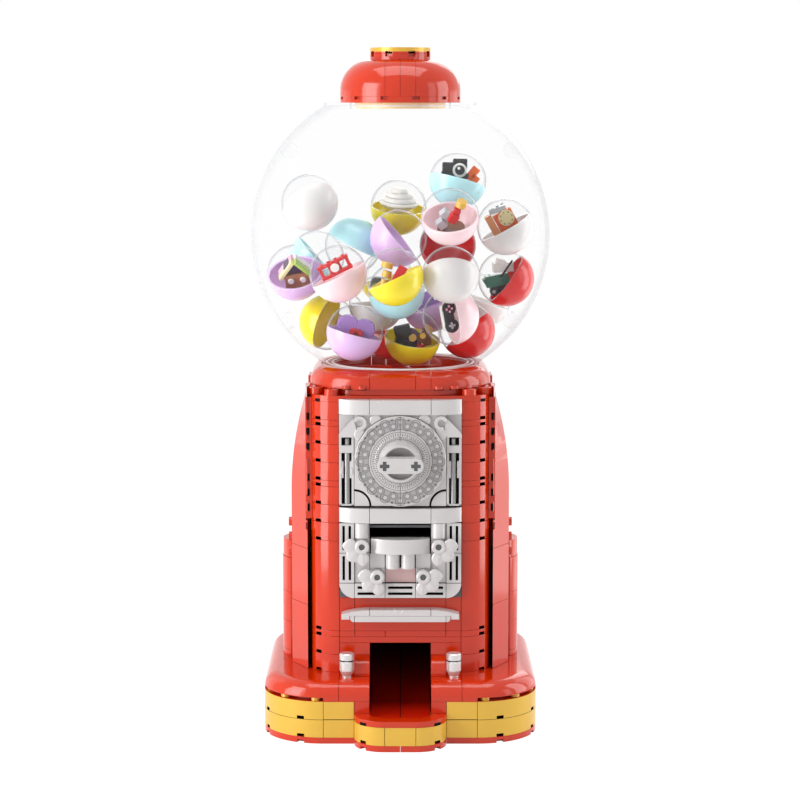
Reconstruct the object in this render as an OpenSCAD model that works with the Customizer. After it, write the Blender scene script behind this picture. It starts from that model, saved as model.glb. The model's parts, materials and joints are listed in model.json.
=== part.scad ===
// Gumball machine in interlocking toy bricks: a red body on a gold-banded base,
// a silver coin face with a turning dial, and a clear globe of toy capsules.
// +Z is up, the front faces -Y, and the origin is the middle of the base's underside.

/* [Brick grid] */
// Distance between stud centres
pitch = 8; // [7.8:0.05:8.2]
// Height of one plate, a third of a brick
plate_h = 3.2; // [3.1:0.05:3.3]
// Gap left between neighbouring bricks
brick_gap = 0.2; // [0.1:0.05:0.3]
// Diameter of a stud
stud_d = 4.8; // [4.4:0.1:5]
// Height of a stud
stud_h = 1.7; // [1.4:0.1:1.9]
// Width of the cut-outs along the underside of round corner bricks
notch_w = 4; // [3:0.25:5]
// Height of those cut-outs
notch_h = 1.6; // [1:0.1:2]

/* [Base] */
// Width of the square base
base_w = 144; // [136:4:168]
// Radius of the base's corners
base_r = 32; // [28:1:38]
// Radius of the deck's rounded top edge
deck_edge = 8; // [5:0.5:9]
// Depth of the gold bricks, front to back
band_d = 16; // [10:1:20]
// Width of the tray
tray_w = 48; // [46:1:54]
// How far the tray stands out in front of the base
tray_out = 16; // [12:1:20]
// Radius of the tray's front corners
tray_r = 16; // [10:1:16]
// Width of the tray's rim
tray_rim_w = 8; // [6:0.5:9]

/* [Chute] */
// Clear width of the chute
chute_w = 32; // [31:0.5:33]
// Height of the ramp's flat foot above the ground
ramp_low = 14; // [13:0.5:15]
// Distance of the foot's rear end behind the base's front edge
ramp_foot = 34; // [30:1:38]
// Height of the ramp's upper end above the ground
ramp_high = 57; // [52:1:60]
// Thickness of the ramp
ramp_t = 3.2; // [2.4:0.2:4]
// Wall of the drop channel
channel_wall = 1.6; // [1.2:0.2:2.4]
// Distance of the guard posts from the middle
post_x = 28; // [27:0.5:30]
// Diameter of a guard post
post_d = 7.8; // [6:0.2:8]
// Height of a guard post
post_h = 12.8; // [9:0.2:16]

/* [Body] */
// Width of the body, between the outer faces of its columns
body_w = 96; // [96:4:104]
// Radius of the body's round columns
column_r = 16; // [14:1:16]
// Thickness of the body's brick walls
wall_t = 8; // [6:0.5:8]
// Thickness of the rear wall's panels
rear_wall_t = 3.2; // [2.4:0.2:4]
// How far a wing stands out at its widest, beyond the column
wing_out = 10; // [8:0.5:12]
// Gap between a column and its wing
wing_gap = 2; // [1:0.25:3]
// Radius of the wing's curved upper part
wing_bow = 186; // [170:2:240]
// Height of the side ribs above the deck
rib_h = 64; // [48:3.2:80]
// Radius of the side ribs
rib_r = 16; // [14:0.5:16]
// Radius of the shoulder's corners
shoulder_r = 32; // [26:1:36]
// Radius of the shoulder's rounded top edge
shoulder_edge = 8; // [5:0.5:9]

/* [Coin face] */
// Width of the silver face
face_w = 64; // [62:1:64]
// Height of the face's lower edge above the deck
face_rise = 40.8; // [38:0.4:43]
// Thickness of the face's tiles
face_t = 4; // [3.2:0.2:5]
// Gap between the upper and the lower face
face_split = 1; // [0.6:0.1:1.4]
// Width of the coin slot
slot_w = 32; // [28:1:32]
// Width of a grille's slot
grille_slot = 1.3; // [1:0.1:1.6]
// Reach of a wing nut's lobes from its pin
nut_reach = 10.4; // [8.5:0.1:10.6]
// Diameter of the pin that a wing nut turns on
nut_pin_d = 3; // [2.4:0.1:3.4]

/* [Dial and drive] */
// Diameter of the dial's disc
dial_d = 47.6; // [44:0.2:47.6]
// Thickness of the dial's disc
dial_t = 3.2; // [2.4:0.2:4]
// Length of the handle
handle_l = 23.8; // [20:0.2:28]
// Width of the handle
handle_w = 7.8; // [6.6:0.2:9]
// Thickness of the handle
handle_t = 7.8; // [6:0.2:9]
// Depth of the dial's cup-shaped hub
hub_t = 8; // [6:0.5:10]
// Diameter of the dial's axle and of the rotor's shaft
axle_d = 4.8; // [4:0.1:5.4]
// Radial clearance of a shaft in its bearing
run_fit = 0.08; // [0.05:0.01:0.1]
// Gap between two faces that pass each other
run_gap = 0.3; // [0.25:0.05:0.5]
// Pitch radius of the bevel gears
gear_r = 7; // [6.5:0.25:7.5]
// Diameter of the rotor
rotor_d = 75; // [73:0.5:75.5]
// Thickness of the rotor
rotor_t = 9.6; // [8:0.2:9.8]
// Diameter of the rotor's pockets
pocket_d = 31.2; // [30.6:0.2:31.6]

/* [Globe and lid] */
// Diameter of the globe
globe_d = 160; // [152:1:164]
// Wall of the globe
globe_wall = 2; // [1.5:0.1:2.5]
// Diameter of the globe's flat top and bottom
neck_d = 80; // [79:0.5:81]
// Diameter of the filling hole
fill_d = 54; // [50:1:60]
// Height of the clear ring on top of the globe
collar_h = 1.4; // [1:0.1:2]
// Diameter of the lid
lid_d = 64; // [60:1:70]
// Height of the lid's dome
dome_h = 19.2; // [14.4:0.8:24]
// Diameter of the small plates on top of the lid
cap_d = 32; // [26:1:34]
// Diameter of the lid's plug
plug_d = 48; // [40:1:49]

/* [Capsules] */
// Diameter of a capsule
capsule_d = 29.8; // [29:0.1:29.9]
// Wall of a capsule
capsule_wall = 1.2; // [0.8:0.1:1.6]

/* [Hidden] */
$fn = 96;
eps = 0.01;
brick_h = 3 * plate_h;
base_half = base_w / 2;
base_core = base_half - base_r;
z_band = plate_h;
z_mid = z_band + brick_h;
z_deck = z_mid + brick_h;
z_body = z_deck + brick_h;
tray_front = -base_half - tray_out;
tray_half = tray_w / 2;
tray_core = tray_half - tray_r;

body_half = body_w / 2;
column_in = body_half - column_r;
column_stack = [3, 3, 1, 15, 3, 3, 3, 1, 3, 3, 3, 1, 3];
body_plates = 45;
z_floor = z_body + body_plates * plate_h;
z_ledge = z_floor + plate_h;
z_shoulder = z_ledge + plate_h;
z_top = z_shoulder + 3 * plate_h;
rear_in = body_half - rear_wall_t;
inner_half = body_half - wall_t;

face_half = face_w / 2;
z_face = z_body + face_rise;
face_rows = 6;
z_upper = z_face + face_rows * pitch + face_split;
z_upper_top = z_upper + face_rows * pitch;
y_wall = -body_half;
y_face = y_wall - face_t;
z_slot = z_face + 4 * pitch;
tile_gap = brick_gap / 2;

dial_z = z_upper + 3 * pitch;
y_dial_back = y_face - run_gap;
y_disc = y_dial_back - dial_t;
y_hub = y_disc - hub_t;
hub_base_r = handle_l / 2 - 0.9;
hub_rim_r = hub_base_r - 1.4;
hub_hole_r = hub_rim_r - 1.2;
fit_gap = 0.04;

teeth = 12;
gear_face = 2.6;
gear_hub = 3;
gear_addendum = 0.8;
rotor_r = rotor_d / 2;
pocket_r = pocket_d / 2;
pocket_at = rotor_r - pocket_r - 1.6;
z_rotor = z_ledge + run_gap;
bore_r = axle_d / 2 + run_fit;
rotor_bore_r = rotor_r + 0.5;
beam_w = 6.4;

chute_half = chute_w / 2;
channel_half = chute_half + 1;
channel_y = rear_in - 0.2 - capsule_d - 1.4;
ramp_front = -base_half + 0.5;
ramp_bend = -base_half + ramp_foot;
ramp_back = rear_in - 0.3;
ramp_slope = (ramp_high - ramp_low) / (ramp_back - ramp_bend);
ramp_room = (capsule_d + 1) * sqrt(1 + ramp_slope * ramp_slope);
z_channel = ramp_z(channel_y - channel_wall) + ramp_room;
under_front = ramp_bend + 4;
under_slope = (ramp_high - ramp_t - z_mid - 0.05) / (ramp_back - under_front);
deck_open_y = under_front + (z_body + 0.2 - z_mid) / under_slope;

globe_r = globe_d / 2;
neck_r = neck_d / 2;
seat_depth = 1.4;
z_seat = z_top - seat_depth;
globe_zc = z_seat + sqrt(globe_r * globe_r - neck_r * neck_r);
z_globe_top = 2 * globe_zc - z_seat;
z_lid = z_globe_top + collar_h;
lid_r = lid_d / 2;
cap_r = cap_d / 2;
z_dome = z_lid + plate_h;
z_cap = z_dome + dome_h;
z_gold = z_cap + plate_h;
capsule_r = capsule_d / 2;

function level(plates) = z_body + plates * plate_h;
function sum_to(v, n) = n <= 0 ? 0 : v[n - 1] + sum_to(v, n - 1);
function ramp_z(y) = ramp_low + max(y - ramp_bend, 0) * ramp_slope;

red = "#d23b1c";
gold = "#e3b84a";
silver = "#c9c6c4";
dark_grey = "#6b6b6b";
clear = [0.93, 0.95, 0.96, 0.3];

// ---------------------------------------------------------------- shared shapes

// Box between two planes along each axis
module span(x, y, z) {
    translate([x[0], y[0], z[0]])
        cube([x[1] - x[0], y[1] - y[0], z[1] - z[0]]);
}

module both_sides() {
    children();
    mirror([1, 0, 0]) children();
}

module front_and_back() {
    children();
    mirror([0, 1, 0]) children();
}

// Window in plan, shrunk all round by half a brick gap
module window(x, y) {
    translate([x[0] + tile_gap, y[0] + tile_gap])
        square([x[1] - x[0] - brick_gap, y[1] - y[0] - brick_gap]);
}

module rounded_plan(w, d, r) {
    square([w - 2 * r, d], center = true);
    square([w, d - 2 * r], center = true);
    for (sx = [-1, 1], sy = [-1, 1])
        translate([sx * (w / 2 - r), sy * (d / 2 - r)]) circle(r);
}

// Section through a slab whose top edges are rounded
module edge_section(w, h, edge) {
    translate([-w / 2, 0]) square([w, h - edge]);
    translate([-w / 2 + edge, 0]) square([w - 2 * edge, h]);
    for (sx = [-1, 1])
        translate([sx * (w / 2 - edge), h - edge]) circle(edge);
}

// Square slab with round corners and a rounded top edge
module rounded_slab(w, r, h, edge) {
    for (turn = [0, 90])
        rotate([0, 0, turn]) translate([0, (w - 2 * r) / 2, 0])
            rotate([90, 0, 0]) linear_extrude(w - 2 * r) edge_section(w, h, edge);
    for (sx = [-1, 1], sy = [-1, 1])
        translate([sx * (w / 2 - r), sy * (w / 2 - r), 0])
            rotate_extrude() intersection() {
                edge_section(2 * r, h, edge);
                square([r, h]);
            }
}

module stud(x, y, z) {
    translate([x, y, z - eps]) cylinder(d = stud_d, h = stud_h + eps, $fn = 32);
}

// Cut-out under the edge of a round corner, a given way round from the corner's middle
module edge_notch(centre, r, turn, z) {
    translate([centre[0], centre[1], z])
        rotate([0, 0, turn]) translate([r - 3, -notch_w / 2, -eps])
            cube([4, notch_w, notch_h + eps]);
}

// The two cut-outs of a base corner, in the front right quarter
module base_notches(z) {
    for (turn = [-68, -22])
        edge_notch([base_core, -base_core], base_r, turn, z);
}

// ---------------------------------------------------------------- base

module base_plate_piece(x) {
    far = base_half + 1;
    difference() {
        linear_extrude(plate_h) difference() {
            intersection() {
                rounded_plan(base_w, base_w, base_r);
                window(x, [-far, far]);
            }
            translate([-tray_half, -far]) square([tray_w, band_d + 1]);
        }
        front_and_back() base_notches(0);
    }
}

module base_plate() {
    color(red) {
        both_sides() base_plate_piece([chute_half, base_half + 1]);
        base_plate_piece([-chute_half, chute_half]);
    }
}

module tray_outline() {
    translate([-tray_half, -base_half - 0.2]) square([tray_w, band_d]);
    translate([-tray_half, tray_front + tray_r]) square([tray_w, tray_out - tray_r + 2]);
    translate([-tray_core, tray_front]) square([2 * tray_core, tray_r]);
    for (sx = [-1, 1])
        translate([sx * tray_core, tray_front + tray_r]) circle(tray_r);
}

module tray_notches(z) {
    both_sides() edge_notch([tray_core, tray_front + tray_r], tray_r, -45, z);
}

module tray_plate() {
    color(red) difference() {
        linear_extrude(plate_h) both_sides() intersection() {
            tray_outline();
            window([0, tray_half], [tray_front - 1, -base_half + band_d - 0.2]);
        }
        tray_notches(0);
    }
}

module band_plan() {
    difference() {
        rounded_plan(base_w, base_w, base_r);
        rounded_plan(base_w - 2 * band_d, base_w - 2 * band_d, max(base_r - band_d, 2));
    }
}

// One course of gold bricks round the base, open at the front for the tray
module gold_course(z) {
    far = base_half + 1;
    both_sides() {
        front_and_back() difference() {
            translate([0, 0, z]) linear_extrude(brick_h) intersection() {
                band_plan();
                window([base_core, far], [-far, -base_core]);
            }
            base_notches(z);
        }
        translate([0, 0, z]) linear_extrude(brick_h) {
            intersection() {
                band_plan();
                window([tray_half, base_core], [-far, 0]);
            }
            intersection() {
                band_plan();
                window([0, base_core], [base_half - band_d, far]);
            }
            for (y = [-base_core, 0])
                intersection() {
                    band_plan();
                    window([base_core, far], [y, y + base_core]);
                }
        }
    }
}

module gold_band_lower() {
    color(gold) gold_course(z_band);
}

// Stud places that show in the groove below the deck's corners
corner_studs = [[base_core + pitch / 2, -base_half + pitch / 2],
    [base_half - 1.5 * pitch, -base_half + 1.5 * pitch],
    [base_half - pitch / 2, -base_core - pitch / 2]];

module gold_band_upper() {
    color(gold) {
        gold_course(z_mid);
        both_sides() front_and_back()
            for (at = corner_studs) stud(at[0], at[1], z_deck);
    }
}

module tray_gold_band() {
    z = z_band;
    color(gold) difference() {
        translate([0, 0, z]) linear_extrude(brick_h) {
            both_sides() intersection() {
                tray_outline();
                window([pitch, tray_half], [tray_front - 1, -base_half + band_d - 0.2]);
            }
            intersection() {
                tray_outline();
                window([-pitch, pitch], [tray_front - 1, -base_half + band_d - 0.2]);
            }
        }
        tray_notches(z);
    }
}

module tray_rim() {
    inner_r = max(tray_r - tray_rim_w, 2);
    inner_half_w = tray_half - tray_rim_w;
    color(red) translate([0, 0, z_mid]) linear_extrude(plate_h) difference() {
        intersection() {
            tray_outline();
            translate([-tray_half - 1, tray_front - 1]) square([tray_w + 2, tray_out + 1 - 0.2]);
        }
        translate([-inner_half_w + inner_r, tray_front + tray_rim_w])
            square([2 * (inner_half_w - inner_r), tray_out]);
        translate([-inner_half_w, tray_front + tray_rim_w + inner_r])
            square([2 * inner_half_w, tray_out]);
        for (sx = [-1, 1])
            translate([sx * (inner_half_w - inner_r), tray_front + tray_rim_w + inner_r])
                circle(inner_r);
    }
}

module deck_piece(x, y) {
    far_z = z_body - z_deck;
    translate([0, 0, z_deck]) intersection() {
        rounded_slab(base_w, base_r, far_z, deck_edge);
        linear_extrude(far_z) window(x, y);
    }
}

module base_deck() {
    far = base_half + 1;
    seam = tray_half + pitch;
    color(red) {
        both_sides() {
            front_and_back() difference() {
                deck_piece([seam, far], [-far, 0]);
                // Groove that leaves the corner studs of the gold band in sight
                translate([base_core, -base_core, z_deck - eps]) rotate([0, 0, -90])
                    rotate_extrude(angle = 90) translate([base_r - 7, 0])
                        square([8, stud_h + 0.3]);
            }
            deck_piece([chute_half, seam], [-far, deck_open_y]);
        }
        deck_piece([-seam, seam], [deck_open_y, far]);
    }
}

// ---------------------------------------------------------------- chute

module chute_ramp() {
    color(red) both_sides() translate([tile_gap, 0, 0]) rotate([90, 0, 90])
        linear_extrude(chute_half - tile_gap - 0.2) polygon([
            [ramp_front, ramp_low], [ramp_bend, ramp_low], [ramp_back, ramp_high],
            [ramp_back, ramp_high - ramp_t], [under_front, z_mid + 0.05],
            [ramp_front, z_mid + 0.05]]);
}

// Curved slope that flanks the chute's mouth on the deck
module chute_flank() {
    h = 3 * plate_h;
    lip = 1.6;
    d = 9;
    sink = 0.05;
    translate([chute_half + tile_gap, 0, z_body + sink]) rotate([90, 0, 90])
        linear_extrude(pitch - brick_gap) intersection() {
            translate([y_wall - d, 0]) square([d - sink, h]);
            union() {
                translate([y_wall - d, 0]) square([d, lip]);
                translate([y_wall, lip]) scale([1, (h - lip) / d]) circle(d);
            }
        }
}

module chute_walls() {
    color(red) both_sides() {
        // Lower walls, which carry the deck beside the chute
        span([chute_half + tile_gap, tray_half - tile_gap],
             [-base_half + tile_gap, -base_half + band_d - 0.4], [z_mid + 0.05, z_deck - 0.05]);
        chute_flank();
        // Guide walls beside the ramp, inside the body
        translate([chute_half + 0.1, 0, 0]) rotate([90, 0, 90])
            linear_extrude(channel_wall) polygon([
                [-inner_half + 0.2, z_body + 0.05], [ramp_back, z_body + 0.05],
                [ramp_back, z_channel - 0.2], [channel_y, z_channel - 0.2],
                [-inner_half + 0.2, level(5)]]);
    }
}

// Channel open to the rear wall, with a hopper at its top that leads in from the floor's hole
module drop_channel() {
    x1 = channel_half + channel_wall;
    y0 = channel_y - channel_wall;
    z_hopper = z_floor - 16;
    lead = channel_y - (pocket_at - pocket_r);
    color(red) {
        span([-x1, x1], [y0, channel_y], [z_channel, z_hopper]);
        both_sides() span([channel_half, x1], [channel_y - eps, ramp_back], [z_channel, z_floor - 0.1]);
        translate([-x1, 0, 0]) rotate([90, 0, 90]) linear_extrude(2 * x1) polygon([
            [y0, z_hopper - eps], [channel_y, z_hopper - eps],
            [channel_y - lead, z_floor - 0.1], [channel_y - lead - 1.6, z_floor - 0.1]]);
    }
}

module guard_post() {
    r = post_d / 2;
    cone = 2.4;
    cap = 3;
    rotate_extrude($fn = 48) polygon([
        [0, 0.05], [r - 0.9, 0.05], [r, cone], [r, post_h - cap - 0.5], [r - 0.4, post_h - cap - 0.4],
        [r - 0.4, post_h - cap], [r, post_h - cap + 0.1], [r, post_h - 0.2], [r - 0.2, post_h],
        [0, post_h]]);
}

module guard_posts() {
    y = y_wall - 9.5;
    color(silver) both_sides() translate([post_x, y, z_body]) guard_post();
}

// ---------------------------------------------------------------- body

// One round corner brick of a column, in the front right quarter
module column_brick(z, h) {
    centre = [column_in, -column_in];
    difference() {
        translate([0, 0, z]) linear_extrude(h - 0.05) intersection() {
            translate(centre) circle(column_r - tile_gap);
            window([column_in, body_half], [-body_half, -column_in]);
        }
        edge_notch(centre, column_r, -45, z);
    }
}

module column() {
    for (i = [0 : len(column_stack) - 1])
        column_brick(level(sum_to(column_stack, i)), column_stack[i] * plate_h);
}

module front_column_left() {
    color(red) mirror([1, 0, 0]) column();
}

module front_column_right() {
    color(red) column();
}

module rear_columns() {
    color(red) both_sides() mirror([0, 1, 0]) column();
}

module lower_front_wall() {
    y = [y_wall, y_wall + wall_t];
    x1 = column_in - tile_gap;
    mid = 3 * pitch;
    color(red) {
        both_sides() {
            span([chute_half + tile_gap, x1], y, [z_body, level(5) - 0.05]);
            span([mid + tile_gap, x1], y, [level(6), level(7) - 0.05]);
            span([mid + tile_gap, x1], y, [level(7), z_face - 0.1]);
        }
        span([-x1, x1], y, [level(5), level(6) - 0.05]);
        span([-mid + tile_gap, -pitch - tile_gap], y, [level(6), level(7) - 0.05]);
        span([-pitch + tile_gap, mid - tile_gap], y, [level(6), level(7) - 0.05]);
        span([-mid + tile_gap, mid - tile_gap], y, [level(7), z_face - 0.1]);
    }
}

// Half of the hood's upper layer: a flat top that slopes down to a thin tip
module hood_end() {
    flat = 2 * pitch;
    tip = 30.8;
    drop = 2.4;
    tip_t = 2.6;
    run = tip - flat;
    bow = (run * run + drop * drop) / (2 * drop);
    intersection() {
        translate([flat + tile_gap, -tip_t - drop])
            square([run - tile_gap, tip_t + drop + plate_h]);
        translate([flat, plate_h - bow]) circle(bow, $fn = 180);
        union() {
            translate([flat, 0]) square([run, plate_h]);
            translate([26.6, plate_h - drop - tip_t]) square([run, plate_h]);
        }
    }
}

module hood_bar() {
    d = pitch - 0.1;
    z = level(9);
    corner = 2;
    color(silver) translate([0, y_wall, z + plate_h]) rotate([90, 0, 0]) {
        linear_extrude(d) both_sides() hood_end();
        translate([0, 0, 0]) linear_extrude(d) translate([-2 * pitch + tile_gap, 0.02])
            square([4 * pitch - brick_gap, plate_h - 0.02]);
        linear_extrude(d - 0.1) translate([0, -plate_h]) {
            translate([-3 * pitch + tile_gap, 0]) square([6 * pitch - brick_gap, plate_h - 0.03]);
            both_sides() translate([3 * pitch + tile_gap, 0]) {
                translate([0, corner]) square([2.2, plate_h - 0.03 - corner]);
                intersection() {
                    square([2.2, corner + 0.1]);
                    translate([0.2, corner]) circle(corner, $fn = 48);
                }
            }
        }
    }
}

module front_wall() {
    x1 = column_in - tile_gap;
    color(red) difference() {
        union() {
            span([-x1, x1], [y_wall + 0.05, y_wall + wall_t], [z_face, z_upper - 0.3]);
            span([-x1, x1], [y_wall + 0.05, y_wall + wall_t], [z_upper, z_floor - 0.05]);
        }
        span([-slot_w / 2, slot_w / 2], [y_wall - 1, y_wall + wall_t + 1], [z_slot, z_slot + pitch]);
        translate([0, y_wall - 1, dial_z]) rotate([-90, 0, 0])
            cylinder(r = bore_r, h = wall_t + 2, $fn = 48);
    }
}

side_courses = 5;

module side_walls() {
    h = (z_floor - z_body) / side_courses;
    half = column_in - tile_gap;
    color(red) both_sides() for (i = [0 : side_courses - 1])
        span([inner_half, body_half - tile_gap], [-half, half],
             [z_body + i * h, z_body + (i + 1) * h - 0.05]);
}

// Running bond of long bricks between the rear columns
module rear_wall() {
    reach = column_in - tile_gap;
    long = column_in;
    color(red) for (i = [0 : body_plates / 3 - 1]) {
        z = level(3 * i);
        edges = i % 2 == 0 ? [-column_in, 0, column_in]
                           : [-column_in, -column_in / 2, column_in / 2, column_in];
        for (k = [0 : len(edges) - 2])
            span([edges[k] + tile_gap, edges[k + 1] - tile_gap], [rear_in, body_half - tile_gap],
                 [z, z + brick_h - 0.05]);
    }
}

// Outer reach of a wing at a height, straight below and bowed inwards above
wing_straight = 93;
function wing_x(z) = body_half + wing_out - (z < z_body + wing_straight ? 0
    : wing_bow - sqrt(wing_bow * wing_bow - pow(z - z_body - wing_straight, 2)));

wing_steps = 16;
wing_front = body_half - pitch;
wing_mid = wing_front - 2 * pitch;
wing_back = rib_r + 0.4;

// Plan of a wing at one height, as four corners
function wing_ring(z) = [
    [body_half + wing_gap, -wing_front, z],
    [max(wing_x(z), body_half + wing_gap + 0.4), -wing_mid, z],
    [max(wing_x(z), body_half + wing_gap + 0.4), -wing_back, z],
    [body_half + 0.1, -wing_back, z],
    [body_half + 0.1, -column_in + 1, z],
    [body_half + wing_gap, -column_in - 1, z]];

module wing_body() {
    z_bow = z_body + wing_straight;
    top = z_shoulder;
    heights = concat([z_body + 0.05], [for (i = [0 : wing_steps])
        z_bow + (top - z_bow) * i / wing_steps]);
    n = 6;
    rings = len(heights);
    points = [for (z = heights) each wing_ring(z)];
    sides = [for (k = [0 : rings - 2], i = [0 : n - 1])
        [k * n + i, (k + 1) * n + i, (k + 1) * n + (i + 1) % n, k * n + (i + 1) % n]];
    polyhedron(points, concat(sides, [[for (i = [0 : n - 1]) i]],
        [[for (i = [n - 1 : -1 : 0]) (rings - 1) * n + i]]), convexity = 6);
}

wing_holes = [[75, 79], [79.8, 84.8], [90, 93.4], [113, 116.4], [118, 122.4], [126.5, 130.4]];
wing_seams = [34.5, 64.8];

module wing() {
    difference() {
        wing_body();
        for (h = wing_holes)
            span([body_half + wing_gap - 0.3, body_half + wing_gap + 0.9],
                 [-wing_front - 0.2, -wing_front + 3], [z_body + h[0], z_body + h[1]]);
        for (h = wing_seams)
            span([body_half - 1, body_half + wing_out + 4], [-body_half, 0],
                 [z_body + h, z_body + h + brick_gap]);
    }
    for (k = [0 : 2])
        translate([body_half + wing_out - 0.3, -wing_mid + pitch / 2, z_body + 60 + k * pitch])
            rotate([0, 90, 0]) cylinder(d = stud_d, h = stud_h + 0.3, $fn = 24);
}

module front_wings() {
    color(red) both_sides() wing();
}

module rear_wings() {
    color(red) both_sides() mirror([0, 1, 0]) wing();
}

// Heights above the deck at which the rib's half-round pieces meet, in plates
rib_levels = [0, 1, 6, 11, 17];

module side_rib() {
    tall = rib_h / plate_h;
    cuts = concat(rib_levels, [tall]);
    for (i = [0 : len(cuts) - 2]) {
        inset = i == len(cuts) - 2 ? 0.4 : 0;
        translate([body_half + 0.1, 0, level(cuts[i])])
            linear_extrude((cuts[i + 1] - cuts[i]) * plate_h - (inset > 0 ? 0 : 0.05))
                intersection() {
                    circle(rib_r - inset);
                    translate([0, -rib_r * 0.7]) square([rib_r, rib_r * 1.4]);
                }
    }
}

module side_ribs() {
    color(red) both_sides() side_rib();
}

module floor_plate() {
    h = plate_h - 0.05;
    color(red) difference() {
        translate([0, 0, z_floor]) linear_extrude(h) difference() {
            rounded_plan(body_w - brick_gap, body_w - brick_gap, column_r);
            translate([0, pocket_at]) circle(pocket_r);
        }
        translate([0, 0, z_floor - 1]) cylinder(r = bore_r, h = plate_h + 2, $fn = 48);
    }
}

// Places of the round plates that show beside the shoulder's corners
ledge_rounds = [[column_in + pitch / 2, -body_half + pitch / 2],
    [body_half - pitch / 2, -column_in - pitch / 2]];

module ledge_ring() {
    w = body_w - 4;
    color(red) {
        translate([0, 0, z_ledge]) linear_extrude(plate_h - 0.05) difference() {
            rounded_plan(w, w, shoulder_r - 2);
            circle(rotor_bore_r);
            for (sx = [-1, 1], sy = [-1, 1], at = ledge_rounds)
                translate([sx * at[0], sy * -at[1]]) circle(pitch / 2, $fn = 32);
        }
        both_sides() front_and_back() for (at = ledge_rounds)
            translate([at[0], at[1], z_ledge + 0.02])
                cylinder(d = pitch - 2 * brick_gap, h = plate_h - 0.12, $fn = 32);
    }
}

module shoulder_piece(x, y) {
    h = z_top - z_shoulder;
    translate([0, 0, z_shoulder]) intersection() {
        difference() {
            rounded_slab(body_w - brick_gap, shoulder_r, h, shoulder_edge);
            translate([0, 0, -1]) cylinder(r = rotor_bore_r, h = h + 2);
            translate([0, 0, z_seat - z_shoulder])
                cylinder(r = sqrt(globe_r * globe_r - pow(globe_zc - z_top, 2)) + 0.3, h = h);
        }
        linear_extrude(h) window(x, y);
    }
}

module shoulder() {
    far = body_half + 1;
    seam = 2 * pitch;
    color(red) {
        for (x = [[-far, -seam], [seam, far]], y = [[-far, -seam], [seam, far]])
            shoulder_piece(x, y);
        for (x = [[-far, -seam], [seam, far]])
            shoulder_piece(x, [-seam, seam]);
        shoulder_piece([-seam, pitch], [-far, -seam]);
        shoulder_piece([pitch, seam], [-far, -seam]);
        shoulder_piece([-seam, -pitch], [seam, far]);
        shoulder_piece([-pitch, seam], [seam, far]);
    }
}

// ---------------------------------------------------------------- coin face

// Flat tile on the face, given by its edges
module tile(x, z, t = face_t) {
    span([x[0] + tile_gap, x[1] - tile_gap], [y_wall - t, y_wall],
         [z[0] + tile_gap, z[1] - tile_gap]);
}

// Grille tile: two long slots along its length
module grille(x, z, upright) {
    deep = 2.6;
    ends = 1.6;
    mid = upright ? (x[0] + x[1]) / 2 : (z[0] + z[1]) / 2;
    difference() {
        tile(x, z);
        for (s = [-1, 1]) {
            c = mid + s * ends;
            cut = [c - grille_slot / 2, c + grille_slot / 2];
            span(upright ? cut : [x[0] + ends, x[1] - ends], [y_face - 1, y_face + deep],
                 upright ? [z[0] + ends, z[1] - ends] : cut);
        }
    }
}

module face_panel_lower() {
    x_out = face_half;
    x_in = face_half - pitch;
    row = [for (i = [0 : face_rows]) z_face + i * pitch];
    color(silver) {
        for (k = [-1 : 1])
            grille([(2 * k - 1) * pitch, (2 * k + 1) * pitch], [row[0], row[1]], false);
        both_sides() {
            // Bottom corner with a round outer corner
            translate([0, y_wall, 0]) rotate([90, 0, 0]) linear_extrude(face_t)
                intersection() {
                    translate([x_in + tile_gap, row[0]]) square(pitch - tile_gap);
                    translate([x_in, row[1]]) circle(pitch);
                }
            grille([x_in, x_out], [row[1] + 0.05, row[3]], true);
            grille([x_in, x_out], [row[3], row[5]], true);
            tile([2 * pitch, x_in], [row[1], row[3]], face_t - 0.8);
            tile([2 * pitch, x_in], [row[3], row[4]], face_t - 0.8);
            tile([pitch, 2 * pitch], [row[1], row[2]], face_t - 0.8);
            tile([pitch, 2 * pitch], [row[2], row[3]]);
        }
        tile([-pitch, pitch], [row[1], row[2]], face_t - 1.6);
    }
}

module face_panel_upper() {
    x_in = face_half - pitch;
    corner = pitch - 0.2;
    relief = pitch + 0.9;
    z0 = z_upper;
    color(silver) difference() {
        translate([0, y_wall, 0]) rotate([90, 0, 0]) union() {
            linear_extrude(face_t) difference() {
                translate([-x_in + tile_gap, z0]) square([2 * x_in - brick_gap, face_rows * pitch]);
                for (sx = [-1, 1]) translate([sx * x_in, z0]) circle(relief);
            }
            linear_extrude(face_t) both_sides() intersection() {
                translate([x_in - tile_gap, z0]) circle(corner);
                translate([x_in - corner - 1, z0]) square([corner + 1 - tile_gap, corner + 1]);
            }
        }
        translate([0, y_wall + 1, dial_z]) rotate([90, 0, 0])
            cylinder(r = bore_r, h = face_t + 2, $fn = 48);
    }
}

// Band with a flat middle and round ends, in plan
module band_section(t) {
    flat = 2 * pitch;
    reach = face_half - flat;
    y_front = -body_half - t;
    translate([-flat + tile_gap, y_front]) square([2 * flat - brick_gap, t]);
    both_sides() intersection() {
        translate([flat + tile_gap, y_front]) square([reach - tile_gap, t]);
        translate([flat, y_front]) scale([reach * 1.12, t + 3]) translate([0, 1]) circle(1);
    }
}

module face_bands() {
    t = face_t + 2.4;
    color(silver) {
        translate([0, 0, z_slot + pitch + tile_gap])
            linear_extrude(pitch - brick_gap) band_section(t);
        translate([0, 0, z_upper_top + tile_gap])
            linear_extrude(pitch - brick_gap) band_section(t);
    }
}

nut_places = [[2.5 * pitch, 3.5 * pitch], [1.5 * pitch, 1.5 * pitch]];
nut_t = 4.9;
y_nut = y_face - run_gap;

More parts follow.
